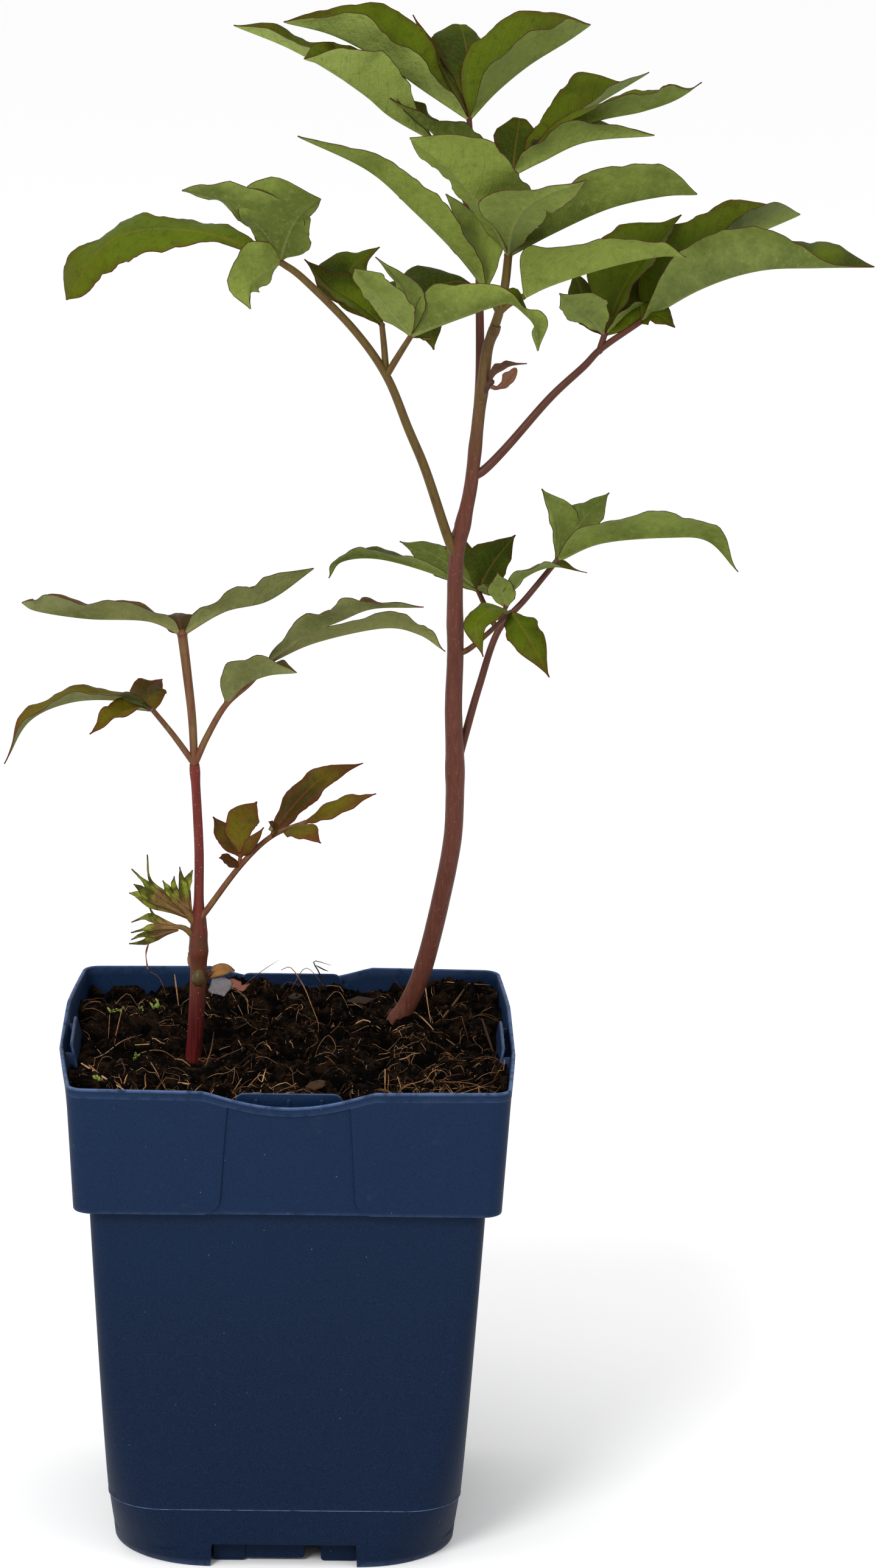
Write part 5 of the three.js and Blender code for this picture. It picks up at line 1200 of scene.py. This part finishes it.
def build_pot(settings):
    shape = Shape()
    pot_shell(shape)
    for side in range(4):
        pot_pocket(shape, side)
        pot_foot(shape, side)
    turn = turns(BOSS_POINTS)
    outer, hollow = BOSS_RADIUS, BOSS_RADIUS - BOSS_WALL
    boss = [np.stack([r * np.cos(turn), r * np.sin(turn), np.full(BOSS_POINTS, z)], -1)
            for r, z in ((outer, BASE_Z + 0.5), (outer, 0.5), (outer - 0.5, 0.0), (outer - 2, 0.0),
                         (hollow, 0.4), (hollow, BASE_Z - 1))]
    join_rings(shape, boss, [0.0, 0.2, 0.3, 0.3, 0.2, 0.0], [0.0] * 6)
    shape.build("pot", [pot_plastic(settings)], SHARP_EDGE)


# Soil

SOIL_LEVEL = 191.0
SOIL_BLOCK_Z = COLLAR_BOTTOM_Z - 6
SOIL_BASE_Z = BASE_Z + 2.4
# Share of its width on top that the soil keeps below the collar, and share of that at its base
MIDDLE_SHARE = 0.82
BASE_SHARE = 0.7
# Shares of a side's bow that the wall and the pocket have at the soil, and the gaps left to them
WALL_BOW = 0.68
POCKET_BOW = 0.9
WALL_GAP = 0.35
PANEL_GAP = 0.9
POCKET_GAP = 0.6
SOIL_SEED = 21
LUMP_TABLE = 70
GROUND_CELLS = 205
FIBRE_SLIMNESS = 0.68
CRUMB_KINDS = 9
CRUMB_REACH = 79
FIBRE_REACH = 78
# Where more fibres lie: one in so many of them falls within this width and this depth
DENSER = ((3, (-70, 78), (-77, -48)), (7, (38, 78), (-70, 20)))
MOSS_LEAVES = 14
# Height, place and spread of each mound of the soil, a hollow being a negative one
MOUNDS = ((6.0, -14, 74, 560, 420), (6.0, 62, 74, 620, 420), (-2.2, -62, 58, 500, 500))
MOSS_PLACES = ((-71, 52), (-69, 55), (-58, 55), (-55, 57), (-74, -52), (-60, -20))

# Flakes of bark: corners (x, y, height above the soil), thickness and tint.
CHIPS = [
    ([(6, -45, 0.4), (8, -41, 1.2), (12, -39, 1.6), (15, -41, 1.4), (13, -45, 0.6), (10, -47, 0.2)],
     0.9, 0.26),
    ([(-2, 57, 0.8), (1, 62, 1.6), (5, 60, 1.4), (3, 55, 0.8)], 0.9, 0.1),
    ([(22, 64, 0.6), (27, 69, 1.4), (34, 66, 1.2), (30, 61, 0.6)], 0.8, 0.08),
]

# Fibres that can be told apart: points (x, y, height above the soil), width and tint.
FIBRES = [
    ([(-81, -27, 1.5), (-71, -45, 1.4), (-61, -61, 1.0)], 1.3, 1.0),
    ([(-78, -30, 1.0), (-71, -44, 0.7), (-64, -57, 0.4)], 0.9, 0.75),
    ([(-79, -22, 0.3), (-73, -7, 1.2), (-66, 1, 1.6), (-59, 22, 0.6)], 0.65, 0.8),
    ([(-56, -19, 0.3), (-52, -35, 1.4), (-46, -50, 0.4)], 0.6, 0.75),
    ([(-67, 30, 4.5), (-69, 16, 2.5), (-69, -1, 0.3)], 0.6, 0.75),
    ([(-72, 26, 4.0), (-72, 14, 0.3)], 0.5, 0.7),
    ([(-80, 11, 0.5), (-74, -4, 1.0)], 0.6, 0.8),
    ([(-61, -1, 0.8), (-51, -3, 0.6)], 0.8, 0.85),
    ([(-59, 10, 0.8), (-55, 4, 0.9)], 0.7, 0.8),
    ([(-34, 51, 3.0), (-29, 38, 0.8), (-19, 35, 1.0)], 0.6, 0.75),
    ([(-43, -47, 0.8), (-33, -47, 0.8)], 1.0, 0.95),
    ([(-11, -55, 0.5), (-10, -47, 3.2), (-9, -44, 5.5)], 0.7, 0.95),
    ([(-16, -50, 0.6), (-11, -43, 2.5), (-8, -50, 0.6)], 0.7, 0.75),
    ([(-33, -20, 0.5), (-31, -10, 4.5), (-30, -3, 10.0)], 0.75, 0.55),
    ([(-45, -17, 0.5), (-42, -19, 1.6), (-38, -21, 0.6)], 0.9, 0.75),
    ([(-4, 20, 24.0), (0, 21, 24.0), (5, 21, 20.0), (8, 21, 14.0), (11, 22, 5.0), (11, 23, 0.5)], 0.65, 0.8),
    ([(-6, 35, 0.4), (-1, 46, 1.4), (2, 47, 0.8)], 0.6, 0.75),
    ([(15, -6, 0.3), (25, 5, 1.0), (28, 13, 0.6)], 0.6, 0.8),
    ([(23, 66, 0.5), (29, 57, 0.6)], 0.6, 0.75),
    ([(26, 36, 0.9), (30, 35, 1.1), (36, 32, 0.9)], 0.9, 0.95),
    ([(54, 66, 4.5), (55, 53, 3.0), (56, 35, 0.3)], 0.7, 0.95),
    ([(50, 50, 1.5), (54, 29, 1.6), (60, 14, 0.4)], 0.8, 0.85),
    ([(61, 78, 0.8), (69, 77, 0.9), (81, 79, 0.8)], 0.6, 0.95),
    ([(61, 40, 0.5), (65, 52, 2.6), (70, 62, 3.2)], 1.7, 0.45),
    ([(62, 15, 0.8), (69, -2, 0.6)], 1.1, 0.5),
    ([(76, 20, 8.0), (79, 8, 3.2), (80, -1, 0.3)], 1.5, 0.2),
    ([(44, -38, 1.0), (50, -45, 1.0), (56, -53, 0.5)], 0.8, 0.95),
    ([(37, -38, 5.5), (37, -42, 3.0), (37, -47, 0.2)], 0.9, 0.75),
    ([(54, -55, 0.8), (63, -50, 1.8), (72, -38, 2.2), (81, -20, 0.8)], 0.6, 0.75),
    ([(52, -60, 0.6), (64, -58, 2.0), (76, -52, 2.0), (81, -38, 1.0)], 0.5, 0.65),
    ([(60, -64, 0.6), (70, -60, 2.4), (79, -50, 1.6)], 0.5, 0.8),
    ([(58, -44, 0.4), (70, -48, 1.6), (80, -58, 0.8)], 0.45, 0.7),
    ([(41, -5, 0.6), (41, -25, 0.7)], 0.5, 0.7),
    ([(-22, -56, 0.4), (-16, -33, 0.8)], 0.6, 0.75),
    ([(-47, 55, 16.0), (-46, 55, 9.0), (-45, 56, 0.3)], 0.9, 0.9),
    ([(-57, 60, 14.0), (-53, 58, 12.5), (-50, 56, 6.0)], 0.45, 0.55),
    ([(-72, 58, 0.4), (-71, 62, 5.0), (-66, 62, 5.4), (-62, 60, 1.0)], 0.6, 0.65),
    ([(-24, 62, 1.0), (-19, 47, 0.8)], 0.6, 0.75),
    ([(-20, 66, 2.0), (-12, 64, 9.0), (-5, 66, 12.0)], 0.5, 0.5),
    ([(0, 68, 2.0), (6, 66, 10.0), (14, 66, 3.0)], 0.5, 0.6),
    ([(11, 60, 2.0), (12, 60, 12.0), (9, 60, 15.5), (16, 60, 17.5)], 0.9, 0.0),
    ([(10, 60, 15.0), (13, 60, 15.6), (15, 60, 14.8)], 0.9, 0.0),
]


def lumps(x, y, size, seed):
    """Smooth uneven height over the plane, from -1 to 1, with bumps about size apart."""
    table = np.random.default_rng(seed).uniform(-1, 1, (LUMP_TABLE + 1, LUMP_TABLE + 1))
    u, v = np.asarray(x, float) / size + LUMP_TABLE / 2, np.asarray(y, float) / size + LUMP_TABLE / 2
    i, j = np.floor(u).astype(int), np.floor(v).astype(int)
    f, g = u - i, v - j
    f, g = f * f * (3 - 2 * f), g * g * (3 - 2 * g)
    i, j = i % LUMP_TABLE, j % LUMP_TABLE
    return ((table[i, j] * (1 - f) + table[i + 1, j] * f) * (1 - g)
            + (table[i, j + 1] * (1 - f) + table[i + 1, j + 1] * f) * g)


def crests(x, y, size, seed):
    """Uneven height with sharp crests between wide hollows, from about -1 to 1."""
    return 1 - 2.7 * np.abs(lumps(x, y, size, seed))


def soil_fine(x, y):
    """Small clods and the pits between them."""
    return (1.5 * crests(x, y, 6.4, 4) + 0.95 * crests(x + 40, y, 3.1, 5) + 0.8 * lumps(x, y, 2.2, 6)
            - 1.3 * np.abs(lumps(x, y, 4.2, 8)))


def soil_height(x, y):
    """Higher behind and at the rear right, lower at the rear left, uneven all over."""
    x, y = np.asarray(x, float), np.asarray(y, float)
    level = SOIL_LEVEL + 1.8 * lumps(x, y, 17, 3) + 1.6 * lumps(x, y, 9.5, 2) + soil_fine(x, y)
    for rise, right, back, wide, deep in MOUNDS:
        level = level + rise * np.exp(-((x - right) ** 2) / wide - (y - back) ** 2 / deep)
    return level


def painted_pit_shade(x, y):
    """1 in the pits of the surface and 0 on its lumps: the share of shade painted into the peat there."""
    return np.clip(0.45 - 0.34 * soil_fine(x, y) - 0.4 * lumps(x, y, 9.5, 2), 0, 1)


def on_soil(points):
    """Points given as x, y and height above the soil."""
    return [(x, y, float(soil_height(x, y)) + up) for x, y, up in points]


def soil_limit(side, a, wall):
    """How far the soil reaches on a side: to the wall, or to the pocket that stands in front of it."""
    inside = wall - WALL
    reach = inside + WALL_BOW * SIDE_BOW[side] * np.cos(np.pi * np.clip(a / wall, -1, 1) / 2)
    pocket = inside + POCKET_BOW * SIDE_BOW[side] - POCKET_SLOT - POCKET_WALL - POCKET_GAP
    wall_side = reach - WALL_GAP - PANEL_GAP * (np.abs(a) < PANEL_HALF_TOP + 2)
    return np.where(np.abs(a) < POCKET_HALF + 1.2, pocket, wall_side)


def keep_in_pot(points, margin=0.0):
    """The points with those too near the wall moved in, in place."""
    wall = collar_half(SOIL_LEVEL) - margin
    for side, turn in enumerate(SIDE_TURNS):
        a = points[:, 0] * math.cos(turn) + points[:, 1] * math.sin(turn)
        out = points[:, 0] * math.sin(turn) - points[:, 1] * math.cos(turn)
        held = np.minimum(out, soil_limit(side, a, wall))
        points[:, 0] += (held - out) * math.sin(turn)
        points[:, 1] -= (held - out) * math.cos(turn)
    radius = COLLAR_CORNER - WALL
    over = np.maximum(np.abs(points[:, :2]) - (wall - WALL - 0.5 - radius), 0)
    reach = np.hypot(over[:, 0], over[:, 1])
    pull = np.where(over.min(1) > 0, 1 - np.minimum(1, radius / np.maximum(reach, 1e-6)), 0)
    points[:, :2] -= np.sign(points[:, :2]) * over * pull[:, None]
    return points


def soil_ground(shape, cells):
    """The uneven top of the soil with the block below it."""
    reach = RIM_HALF + 5
    shift = 0.35 * (reach * 2 / cells)
    line = np.linspace(-reach, reach, cells + 1)
    x, y = np.meshgrid(line, line, indexing="ij")
    x = x + shift * lumps(x, y, 1.9, 11)
    y = y + shift * lumps(x, y, 1.9, 12)
    grit = lumps(x.ravel(), y.ravel(), 1.4, 7)
    points = keep_in_pot(np.stack([x.ravel(), y.ravel(), np.zeros(x.size)], -1))
    points[:, 2] = soil_height(points[:, 0], points[:, 1]) + 0.65 * grit
    # share of painted shade, highest in the pits between clods
    hollow = painted_pit_shade(points[:, 0], points[:, 1]) - 0.15 * grit
    n = cells + 1
    grid = np.arange(n * n).reshape(n, n)
    border = np.concatenate([grid[:-1, 0], grid[-1, :-1], grid[:0:-1, -1], grid[0, :0:-1]])
    low = points[border] * [MIDDLE_SHARE, MIDDLE_SHARE, 0]
    low[:, 2] = SOIL_BLOCK_Z
    base = low * [BASE_SHARE, BASE_SHARE, 0]
    base[:, 2] = SOIL_BASE_Z
    m = len(border)
    middle = len(points) + np.arange(m)
    bottom = middle + m
    faces = grid_faces(n, n).tolist()
    for i in range(m):
        k = (i + 1) % m
        for upper, under in ((border, middle), (middle, bottom)):
            faces.append([upper[i], upper[k], under[k], under[i]])
    faces.append(bottom)
    # the block's sides and base take full painted shade
    hollow = np.concatenate([hollow, np.ones(2 * m)])[:, None]
    shape.add(np.concatenate([points, low, base]), faces, 0, hollow=hollow)


def lump_mesh(seed, finer):
    """Small rough crumb of unit size."""
    work = bmesh.new()
    bmesh.ops.create_icosphere(work, subdivisions=2 if finer else 1, radius=1.0)
    points = np.array([v.co for v in work.verts])
    faces = [[v.index for v in f.verts] for f in work.faces]
    work.free()
    chance = np.random.default_rng(seed)
    for direction in chance.normal(0, 1.2, (4, 3)):
        points = points * (1 + 0.16 * np.sin(2.6 * points @ direction + seed))[:, None]
    return points * chance.uniform(0.7, 1.2, (len(points), 1)), faces


def soil_crumbs(shape, count, chance):
    """Crumbs of peat lying on the surface, most of them small."""
    kinds = [[lump_mesh(seed, finer) for seed in range(CRUMB_KINDS)] for finer in (False, True)]
    for k in range(count):
        x, y = chance.uniform(-CRUMB_REACH, CRUMB_REACH, 2)
        size = 0.35 + 2.0 * chance.random() ** 4.2
        points, faces = kinds[size > 0.9][k % CRUMB_KINDS]
        turn = Matrix.Rotation(chance.uniform(0, 6.28), 3, Vector(chance.normal(0, 1, 3)).normalized())
        points = (points * chance.uniform(0.4, 1.3, 3)) @ np.array(turn).T * size
        centre = np.array([x, y, float(soil_height(x, y)) + size * chance.uniform(-0.2, 0.4)])
        # crumbs lying in pits take some painted shade
        shape.add(keep_in_pot(points + centre, 0.2), faces, 0, hollow=0.3 * float(painted_pit_shade(x, y)))


def loose_fibres(shape, count, chance):
    """Thin curved fibres all over the soil, more of them along the front and at the right."""
    for k in range(count):
        x, y = chance.uniform(-FIBRE_REACH, FIBRE_REACH, 2)
        for every, wide, deep in DENSER:
            if k % every == 0:
                x, y = chance.uniform(*wide), chance.uniform(*deep)
        heading = chance.uniform(0, FULL_TURN)
        length = 3 + 24 * chance.random() ** 2.2
        bend = chance.normal(0, 0.9)
        arch = abs(chance.normal(0, 0.1)) * length
        points = []
        for t in np.linspace(0, 1, 5):
            turn = heading + bend * t + 0.4 * math.sin(7 * t + k)
            x, y = x + math.cos(turn) * length / 5, y + math.sin(turn) * length / 5
            points.append((x, y, 0.1 + arch * math.sin(math.pi * t) + 0.35 * math.sin(11 * t + k)))
        path = on_soil(keep_in_pot(np.array(points), 1.2))
        width = chance.uniform(0.14, 0.32) if k % 11 else chance.uniform(0.35, 0.6)
        tint = float(np.clip(chance.normal(0.62, 0.22), 0, 1))
        sides = 3 if width < 0.33 else 5
        add_tube(shape, path, [width * 0.6, width, width * 0.8, width * 0.3], 1, sides, tint, 2.8)


def add_chip(shape, corners, thick, tint):
    """Flat flake of wood or bark; corners give x, y and height above the soil."""
    ground = max(float(soil_height(x, y)) for x, y, up in corners) - 0.8
    ring = np.array([(x, y, ground + up) for x, y, up in corners])
    centre = ring.mean(0)
    rings = [centre + (ring - centre) * scale + np.array([0, 0, up])
             for scale, up in ((0.9, -thick / 2), (1.0, -thick / 4), (1.0, thick / 4), (0.88, thick / 2))]
    shape.add(np.vstack(rings), ring_faces(4, len(ring)), 1, tint=tint)


def soil_moss(shape, x, y, chance):
    """Tuft of tiny green leaves."""
    for _ in range(MOSS_LEAVES):
        turn = chance.uniform(0, FULL_TURN)
        reach = chance.uniform(0.6, 2.6)
        base = np.array([x + chance.normal(0, 1.1), y + chance.normal(0, 1.1), 0])
        base[2] = float(soil_height(base[0], base[1])) - 0.2
        tip = base + np.array([math.cos(turn) * reach * 0.6, math.sin(turn) * reach * 0.6, reach])
        path = [base, (base + tip) / 2 + [0, 0, 0.3], tip]
        add_tube(shape, path, [0.3, 0.9, 0.5], 2, 6, chance.random(), 0.8)


def build_soil(settings):
    shape = Shape()
    chance = np.random.default_rng(SOIL_SEED)
    soil_ground(shape, GROUND_CELLS)
    soil_crumbs(shape, settings.crumbs // (1), chance)
    for points, width, tint in FIBRES:
        width = FIBRE_SLIMNESS * width
        add_tube(shape, on_soil(points), [width * 0.7, width, width * 0.8, width * 0.3], 1, 5, tint, 2.2)
    loose_fibres(shape, settings.fibres // (1), chance)
    for corners, thick, tint in CHIPS:
        add_chip(shape, corners, thick, tint)
    for x, y in MOSS_PLACES:
        soil_moss(shape, x, y, chance)
    shape.build("soil", [peat_finish(settings), fibre_finish(), moss_finish()], SHARP_EDGE)


# Stems and leaves

STEM_LEAN = [0.1, 1.0, 0.2]
STEM_STEP = 1.6
STALK_SIDES = 14
BODY_SIDES = 12
KNOT_SHARE = 0.52
USUAL_TONE = 0.35


def build_stem(node, stem, finish):
    """Stem with fine lengthwise ridges, swollen where leaves grow from it."""
    shape = Shape()
    length = length_of(stem["path"])
    rows = int(length / STEM_STEP)
    s = np.linspace(0, 1, rows + 1)
    width = along(stem["widths"], s)
    for place, extra, reach in stem["swellings"]:
        width = width + extra * np.exp(-(((s - place) * length / reach) ** 2))
    sides, seed = stem["sides"], stem["seed"]
    angle, up = turns(sides), s[:, None]
    ridge = 1 + 0.014 * np.sin(5 * angle + seed + 3 * up) + 0.012 * np.sin(9 * angle + 2 * seed - 5 * up)
    ridge = ridge + 0.008 * lumps(4 * np.cos(angle) + 9 * seed, up * length + 0 * angle, 2.2, seed)
    radius = width[:, None] / 2 * ridge
    shape.add(rings_round(spline(stem["path"], s), STEM_LEAN, radius), ring_faces(rows + 1, sides))
    shape.build(node, [finish], STEM_EDGE)


def build_leaf(node, finishes):
    """One compound leaf or bud: its stalks with a knot at either end, and the blades."""
    leaf = LEAVES[node]
    shape = Shape()
    chance = np.random.default_rng(sum(map(ord, node)))
    tone = leaf.get("tone", USUAL_TONE)
    for path, start, end in leaf["stalks"]:
        add_tube(shape, path, [start, (start + end) / 2, end], 2, STALK_SIDES, tone, 2.0)
        add_knot(shape, path[-1], end * KNOT_SHARE + 0.1, 2, tone + 0.1, (1, 1, 0.9))
        add_knot(shape, path[0], start * KNOT_SHARE + 0.1, 2, tone + 0.1)
    for path, widths, tint in leaf.get("bodies", ()):
        add_tube(shape, path, widths, 2, BODY_SIDES, tint, 0.7)
    for index, blade in enumerate(leaf["leaflets"]):
        add_blade(shape, blade, index, blade.get("tint", float(chance.random())))
    shape.build(node, finishes, LEAF_EDGE)


# Settings, operators and panel


class PotSettings(bpy.types.PropertyGroup):
    plastic: FloatVectorProperty(
        name="Plastic", description="Colour of the pot", default=linear(6, 20, 41), min=0, max=1,
        subtype="COLOR")


class SoilSettings(bpy.types.PropertyGroup):
    peat: FloatVectorProperty(
        name="Peat", description="Colour of the moist peat", default=linear(6, 4, 3), min=0, max=1,
        subtype="COLOR")
    peat_warm: FloatVectorProperty(
        name="Dry peat", description="Colour of its drier crumbs", default=linear(38, 25, 15), min=0, max=1,
        subtype="COLOR")
    crumbs: IntProperty(
        name="Crumbs", description="How many loose crumbs lie on the soil", default=1700, min=0, max=3000)
    fibres: IntProperty(
        name="Fibres", description="How many loose fibres lie on the soil", default=840, min=0, max=1200)


class PlantSettings(bpy.types.PropertyGroup):
    flush: FloatProperty(
        name="Bronze flush", description="How much of a leaf is flushed with bronze", default=0.6, min=0,
        max=1, subtype="FACTOR")


class StageSettings(bpy.types.PropertyGroup):
    reach: FloatProperty(
        name="Floor", description="How far the floor reaches from the pot", default=12.0, min=1, max=20,
        unit="LENGTH")
    lens: FloatProperty(
        name="Lens", description="Focal length of the camera in millimetres", default=132.0, min=20, max=400)


class BuildPot(bpy.types.Operator):
    """Build the square plastic pot"""
    bl_idname = "peony.pot"
    bl_label = "Pot"

    def execute(self, context):
        build_pot(context.scene.peony_pot)
        return {"FINISHED"}


class BuildSoil(bpy.types.Operator):
    """Build the peat filling with its crumbs, fibres and moss"""
    bl_idname = "peony.soil"
    bl_label = "Soil"

    def execute(self, context):
        build_soil(context.scene.peony_soil)
        return {"FINISHED"}


class BuildStems(bpy.types.Operator):
    """Build the tall stem and the short one"""
    bl_idname = "peony.stems"
    bl_label = "Stems"

    def execute(self, context):
        bark = stem_finish("stem_red_brown", linear(88, 48, 38), linear(86, 68, 36), 0.405, 0.46,
                           linear(140, 108, 84), 0.3)
        build_stem("stem_tall", TALL_STEM, bark)
        red = stem_finish("stem_red", linear(60, 15, 13), linear(96, 42, 35), 0.2, 0.24,
                          linear(116, 54, 46), red=0.3)
        build_stem("stem_short", SHORT_STEM, red)
        return {"FINISHED"}


class BuildGreenLeaves(bpy.types.Operator):
    """Build the compound leaves of the tall stem"""
    bl_idname = "peony.green_leaves"
    bl_label = "Green leaves"

    def execute(self, context):
        finishes = [
            leaf_upper("leaf_green_upper", linear(42, 52, 2), linear(72, 86, 4), linear(110, 122, 34),
                       linear(112, 88, 36), linear(64, 32, 10), context.scene.peony_plant.flush),
            leaf_under("leaf_green_under", linear(72, 83, 26), linear(106, 119, 47), linear(128, 138, 72),
                       linear(136, 132, 78), 0.16),
            stalk_finish("leaf_stalk", linear(76, 40, 28), linear(84, 68, 26)),
        ]
        for node in GREEN_LEAVES:
            build_leaf(node, finishes)
        return {"FINISHED"}


class BuildYoungLeaves(bpy.types.Operator):
    """Build the leaves and sprouts of the short stem"""
    bl_idname = "peony.young_leaves"
    bl_label = "Young leaves"

    def execute(self, context):
        finishes = [
            leaf_upper("leaf_young_upper", linear(48, 38, 4), linear(84, 78, 8), linear(112, 92, 32),
                       linear(104, 50, 34), linear(88, 38, 20), context.scene.peony_plant.flush * 1.5),
            leaf_under("leaf_young_under", linear(80, 84, 42), linear(106, 109, 60), linear(128, 126, 80),
                       linear(132, 96, 70), 0.25),
            stalk_finish("shoot_stalk", linear(92, 44, 34), linear(100, 82, 42)),
        ]
        sprout = [sprout_finish()] * 2
        sprout.append(stalk_finish("sprout_stalk", linear(92, 54, 38), linear(104, 82, 44)))
        for node in SHOOT_LEAVES:
            build_leaf(node, finishes)
        for node in SPROUTS:
            build_leaf(node, sprout)
        return {"FINISHED"}


class BuildBuds(bpy.types.Operator):
    """Build the dried bud and the bud scales"""
    bl_idname = "peony.buds"
    bl_label = "Buds"

    def execute(self, context):
        dry = bract_finish()
        skin = stalk_finish("bud_skin", linear(72, 40, 26), linear(66, 64, 22))
        build_leaf("bud_dried", [dry, dry, dry])
        build_leaf("bud_scales", [dry, dry, skin])
        return {"FINISHED"}


# Stage, in metres

CAMERA_PLACE = (0.0068, -2.1708, 0.850)
CAMERA_YAW = math.radians(1.31)
CAMERA_PITCH = math.radians(14.226)
CAMERA_ROLL = math.radians(1.016)
SENSOR_WIDTH = 36.0
PALE = (0.95, 0.95, 0.95)
DAYLIGHT = 0.74
CEILING_POWER = 0.95
CEILING_SPREAD = math.radians(70)
CEILING_TILT = (math.radians(18), math.radians(-12), 0)
AIM = (0, 0, 0.3)
# Name, place, width and power of each lamp
LAMPS = (("key", (-1.0, -2.0, 1.6), 0.9, 42), ("fill", (1.9, -1.3, 1.3), 1.6, 6))


def camera_matrix():
    flat = math.cos(CAMERA_PITCH)
    ahead = Vector((math.sin(CAMERA_YAW) * flat, math.cos(CAMERA_YAW) * flat, -math.sin(CAMERA_PITCH)))
    level = Vector((math.cos(CAMERA_YAW), -math.sin(CAMERA_YAW), 0))
    upright = level.cross(ahead)
    right = math.cos(CAMERA_ROLL) * level + math.sin(CAMERA_ROLL) * upright
    up = math.cos(CAMERA_ROLL) * upright - math.sin(CAMERA_ROLL) * level
    matrix = Matrix((right, up, -ahead)).transposed().to_4x4()
    matrix.translation = Vector(CAMERA_PLACE)
    return matrix


def add_camera(settings):
    lens = bpy.data.cameras.new("camera")
    lens.sensor_fit = "AUTO"
    lens.sensor_width = SENSOR_WIDTH
    lens.lens = settings.lens
    lens.clip_end = 50
    lens.dof.use_dof = False
    camera = bpy.data.objects.new("camera", lens)
    camera.matrix_world = camera_matrix()
    bpy.context.scene.collection.objects.link(camera)
    bpy.context.scene.camera = camera


def add_lamp(name, place, size, power):
    light = bpy.data.lights.new(name, "AREA")
    light.shape = "DISK"
    light.size = size
    light.energy = power
    lamp = bpy.data.objects.new(name, light)
    lamp.location = place
    lamp.rotation_euler = (Vector(AIM) - Vector(place)).to_track_quat("-Z", "Y").to_euler()
    bpy.context.scene.collection.objects.link(lamp)


def add_ceiling():
    """Very soft light from above, as from a wide white ceiling."""
    light = bpy.data.lights.new("ceiling", "SUN")
    light.energy = CEILING_POWER
    light.angle = CEILING_SPREAD
    lamp = bpy.data.objects.new("ceiling", light)
    lamp.rotation_euler = CEILING_TILT
    bpy.context.scene.collection.objects.link(lamp)


def add_floor(settings):
    mesh = bpy.data.meshes.new("floor")
    r = settings.reach
    mesh.from_pydata([(-r, -r, 0), (r, -r, 0), (r, r, 0), (-r, r, 0)], [], [(0, 1, 2, 3)])
    pale = Finish("pale_floor", 0.9, 0.25, PALE)
    pale.shader.inputs["Base Color"].default_value = (*PALE, 1)
    mesh.materials.append(pale.material)
    floor = bpy.data.objects.new("floor", mesh)
    bpy.context.scene.collection.objects.link(floor)


def add_daylight():
    world = bpy.data.worlds.new("studio")
    world.use_nodes = True
    sky = world.node_tree.nodes["Background"]
    sky.inputs["Color"].default_value = (1, 1, 1, 1)
    sky.inputs["Strength"].default_value = DAYLIGHT
    bpy.context.scene.world = world


class BuildStage(bpy.types.Operator):
    """Set the camera, the lights and the pale floor"""
    bl_idname = "peony.stage"
    bl_label = "Stage"

    def execute(self, context):
        stage = context.scene.peony_stage
        add_camera(stage)
        add_floor(stage)
        add_daylight()
        add_ceiling()
        for lamp in LAMPS:
            add_lamp(*lamp)
        context.scene.view_settings.view_transform = "Standard"
        return {"FINISHED"}


GROUPS = {"peony_pot": PotSettings, "peony_soil": SoilSettings, "peony_plant": PlantSettings,
          "peony_stage": StageSettings}
OPERATORS = [BuildPot, BuildSoil, BuildStems, BuildGreenLeaves, BuildYoungLeaves, BuildBuds, BuildStage]


class PeonyPanel(bpy.types.Panel):
    bl_idname = "VIEW3D_PT_peony"
    bl_label = "Potted peony"
    bl_space_type = "VIEW_3D"
    bl_region_type = "UI"
    bl_category = "Peony"

    def draw(self, context):
        for owner, group in GROUPS.items():
            for name in group.__annotations__:
                self.layout.prop(getattr(context.scene, owner), name)
        for operator in OPERATORS:
            self.layout.operator(operator.bl_idname)


def register():
    for group in [*GROUPS.values(), *OPERATORS, PeonyPanel]:
        bpy.utils.register_class(group)
    for name, group in GROUPS.items():
        setattr(bpy.types.Scene, name, PointerProperty(type=group))


def unregister():
    for name in GROUPS:
        delattr(bpy.types.Scene, name)
    for group in reversed([*GROUPS.values(), *OPERATORS, PeonyPanel]):
        bpy.utils.unregister_class(group)


def main():
    register()
    for operator in OPERATORS:
        area, name = operator.bl_idname.split(".")
        if getattr(getattr(bpy.ops, area), name)() != {"FINISHED"}:
            raise RuntimeError(f"{name} did not finish")


if __name__ == "__main__":
    main()
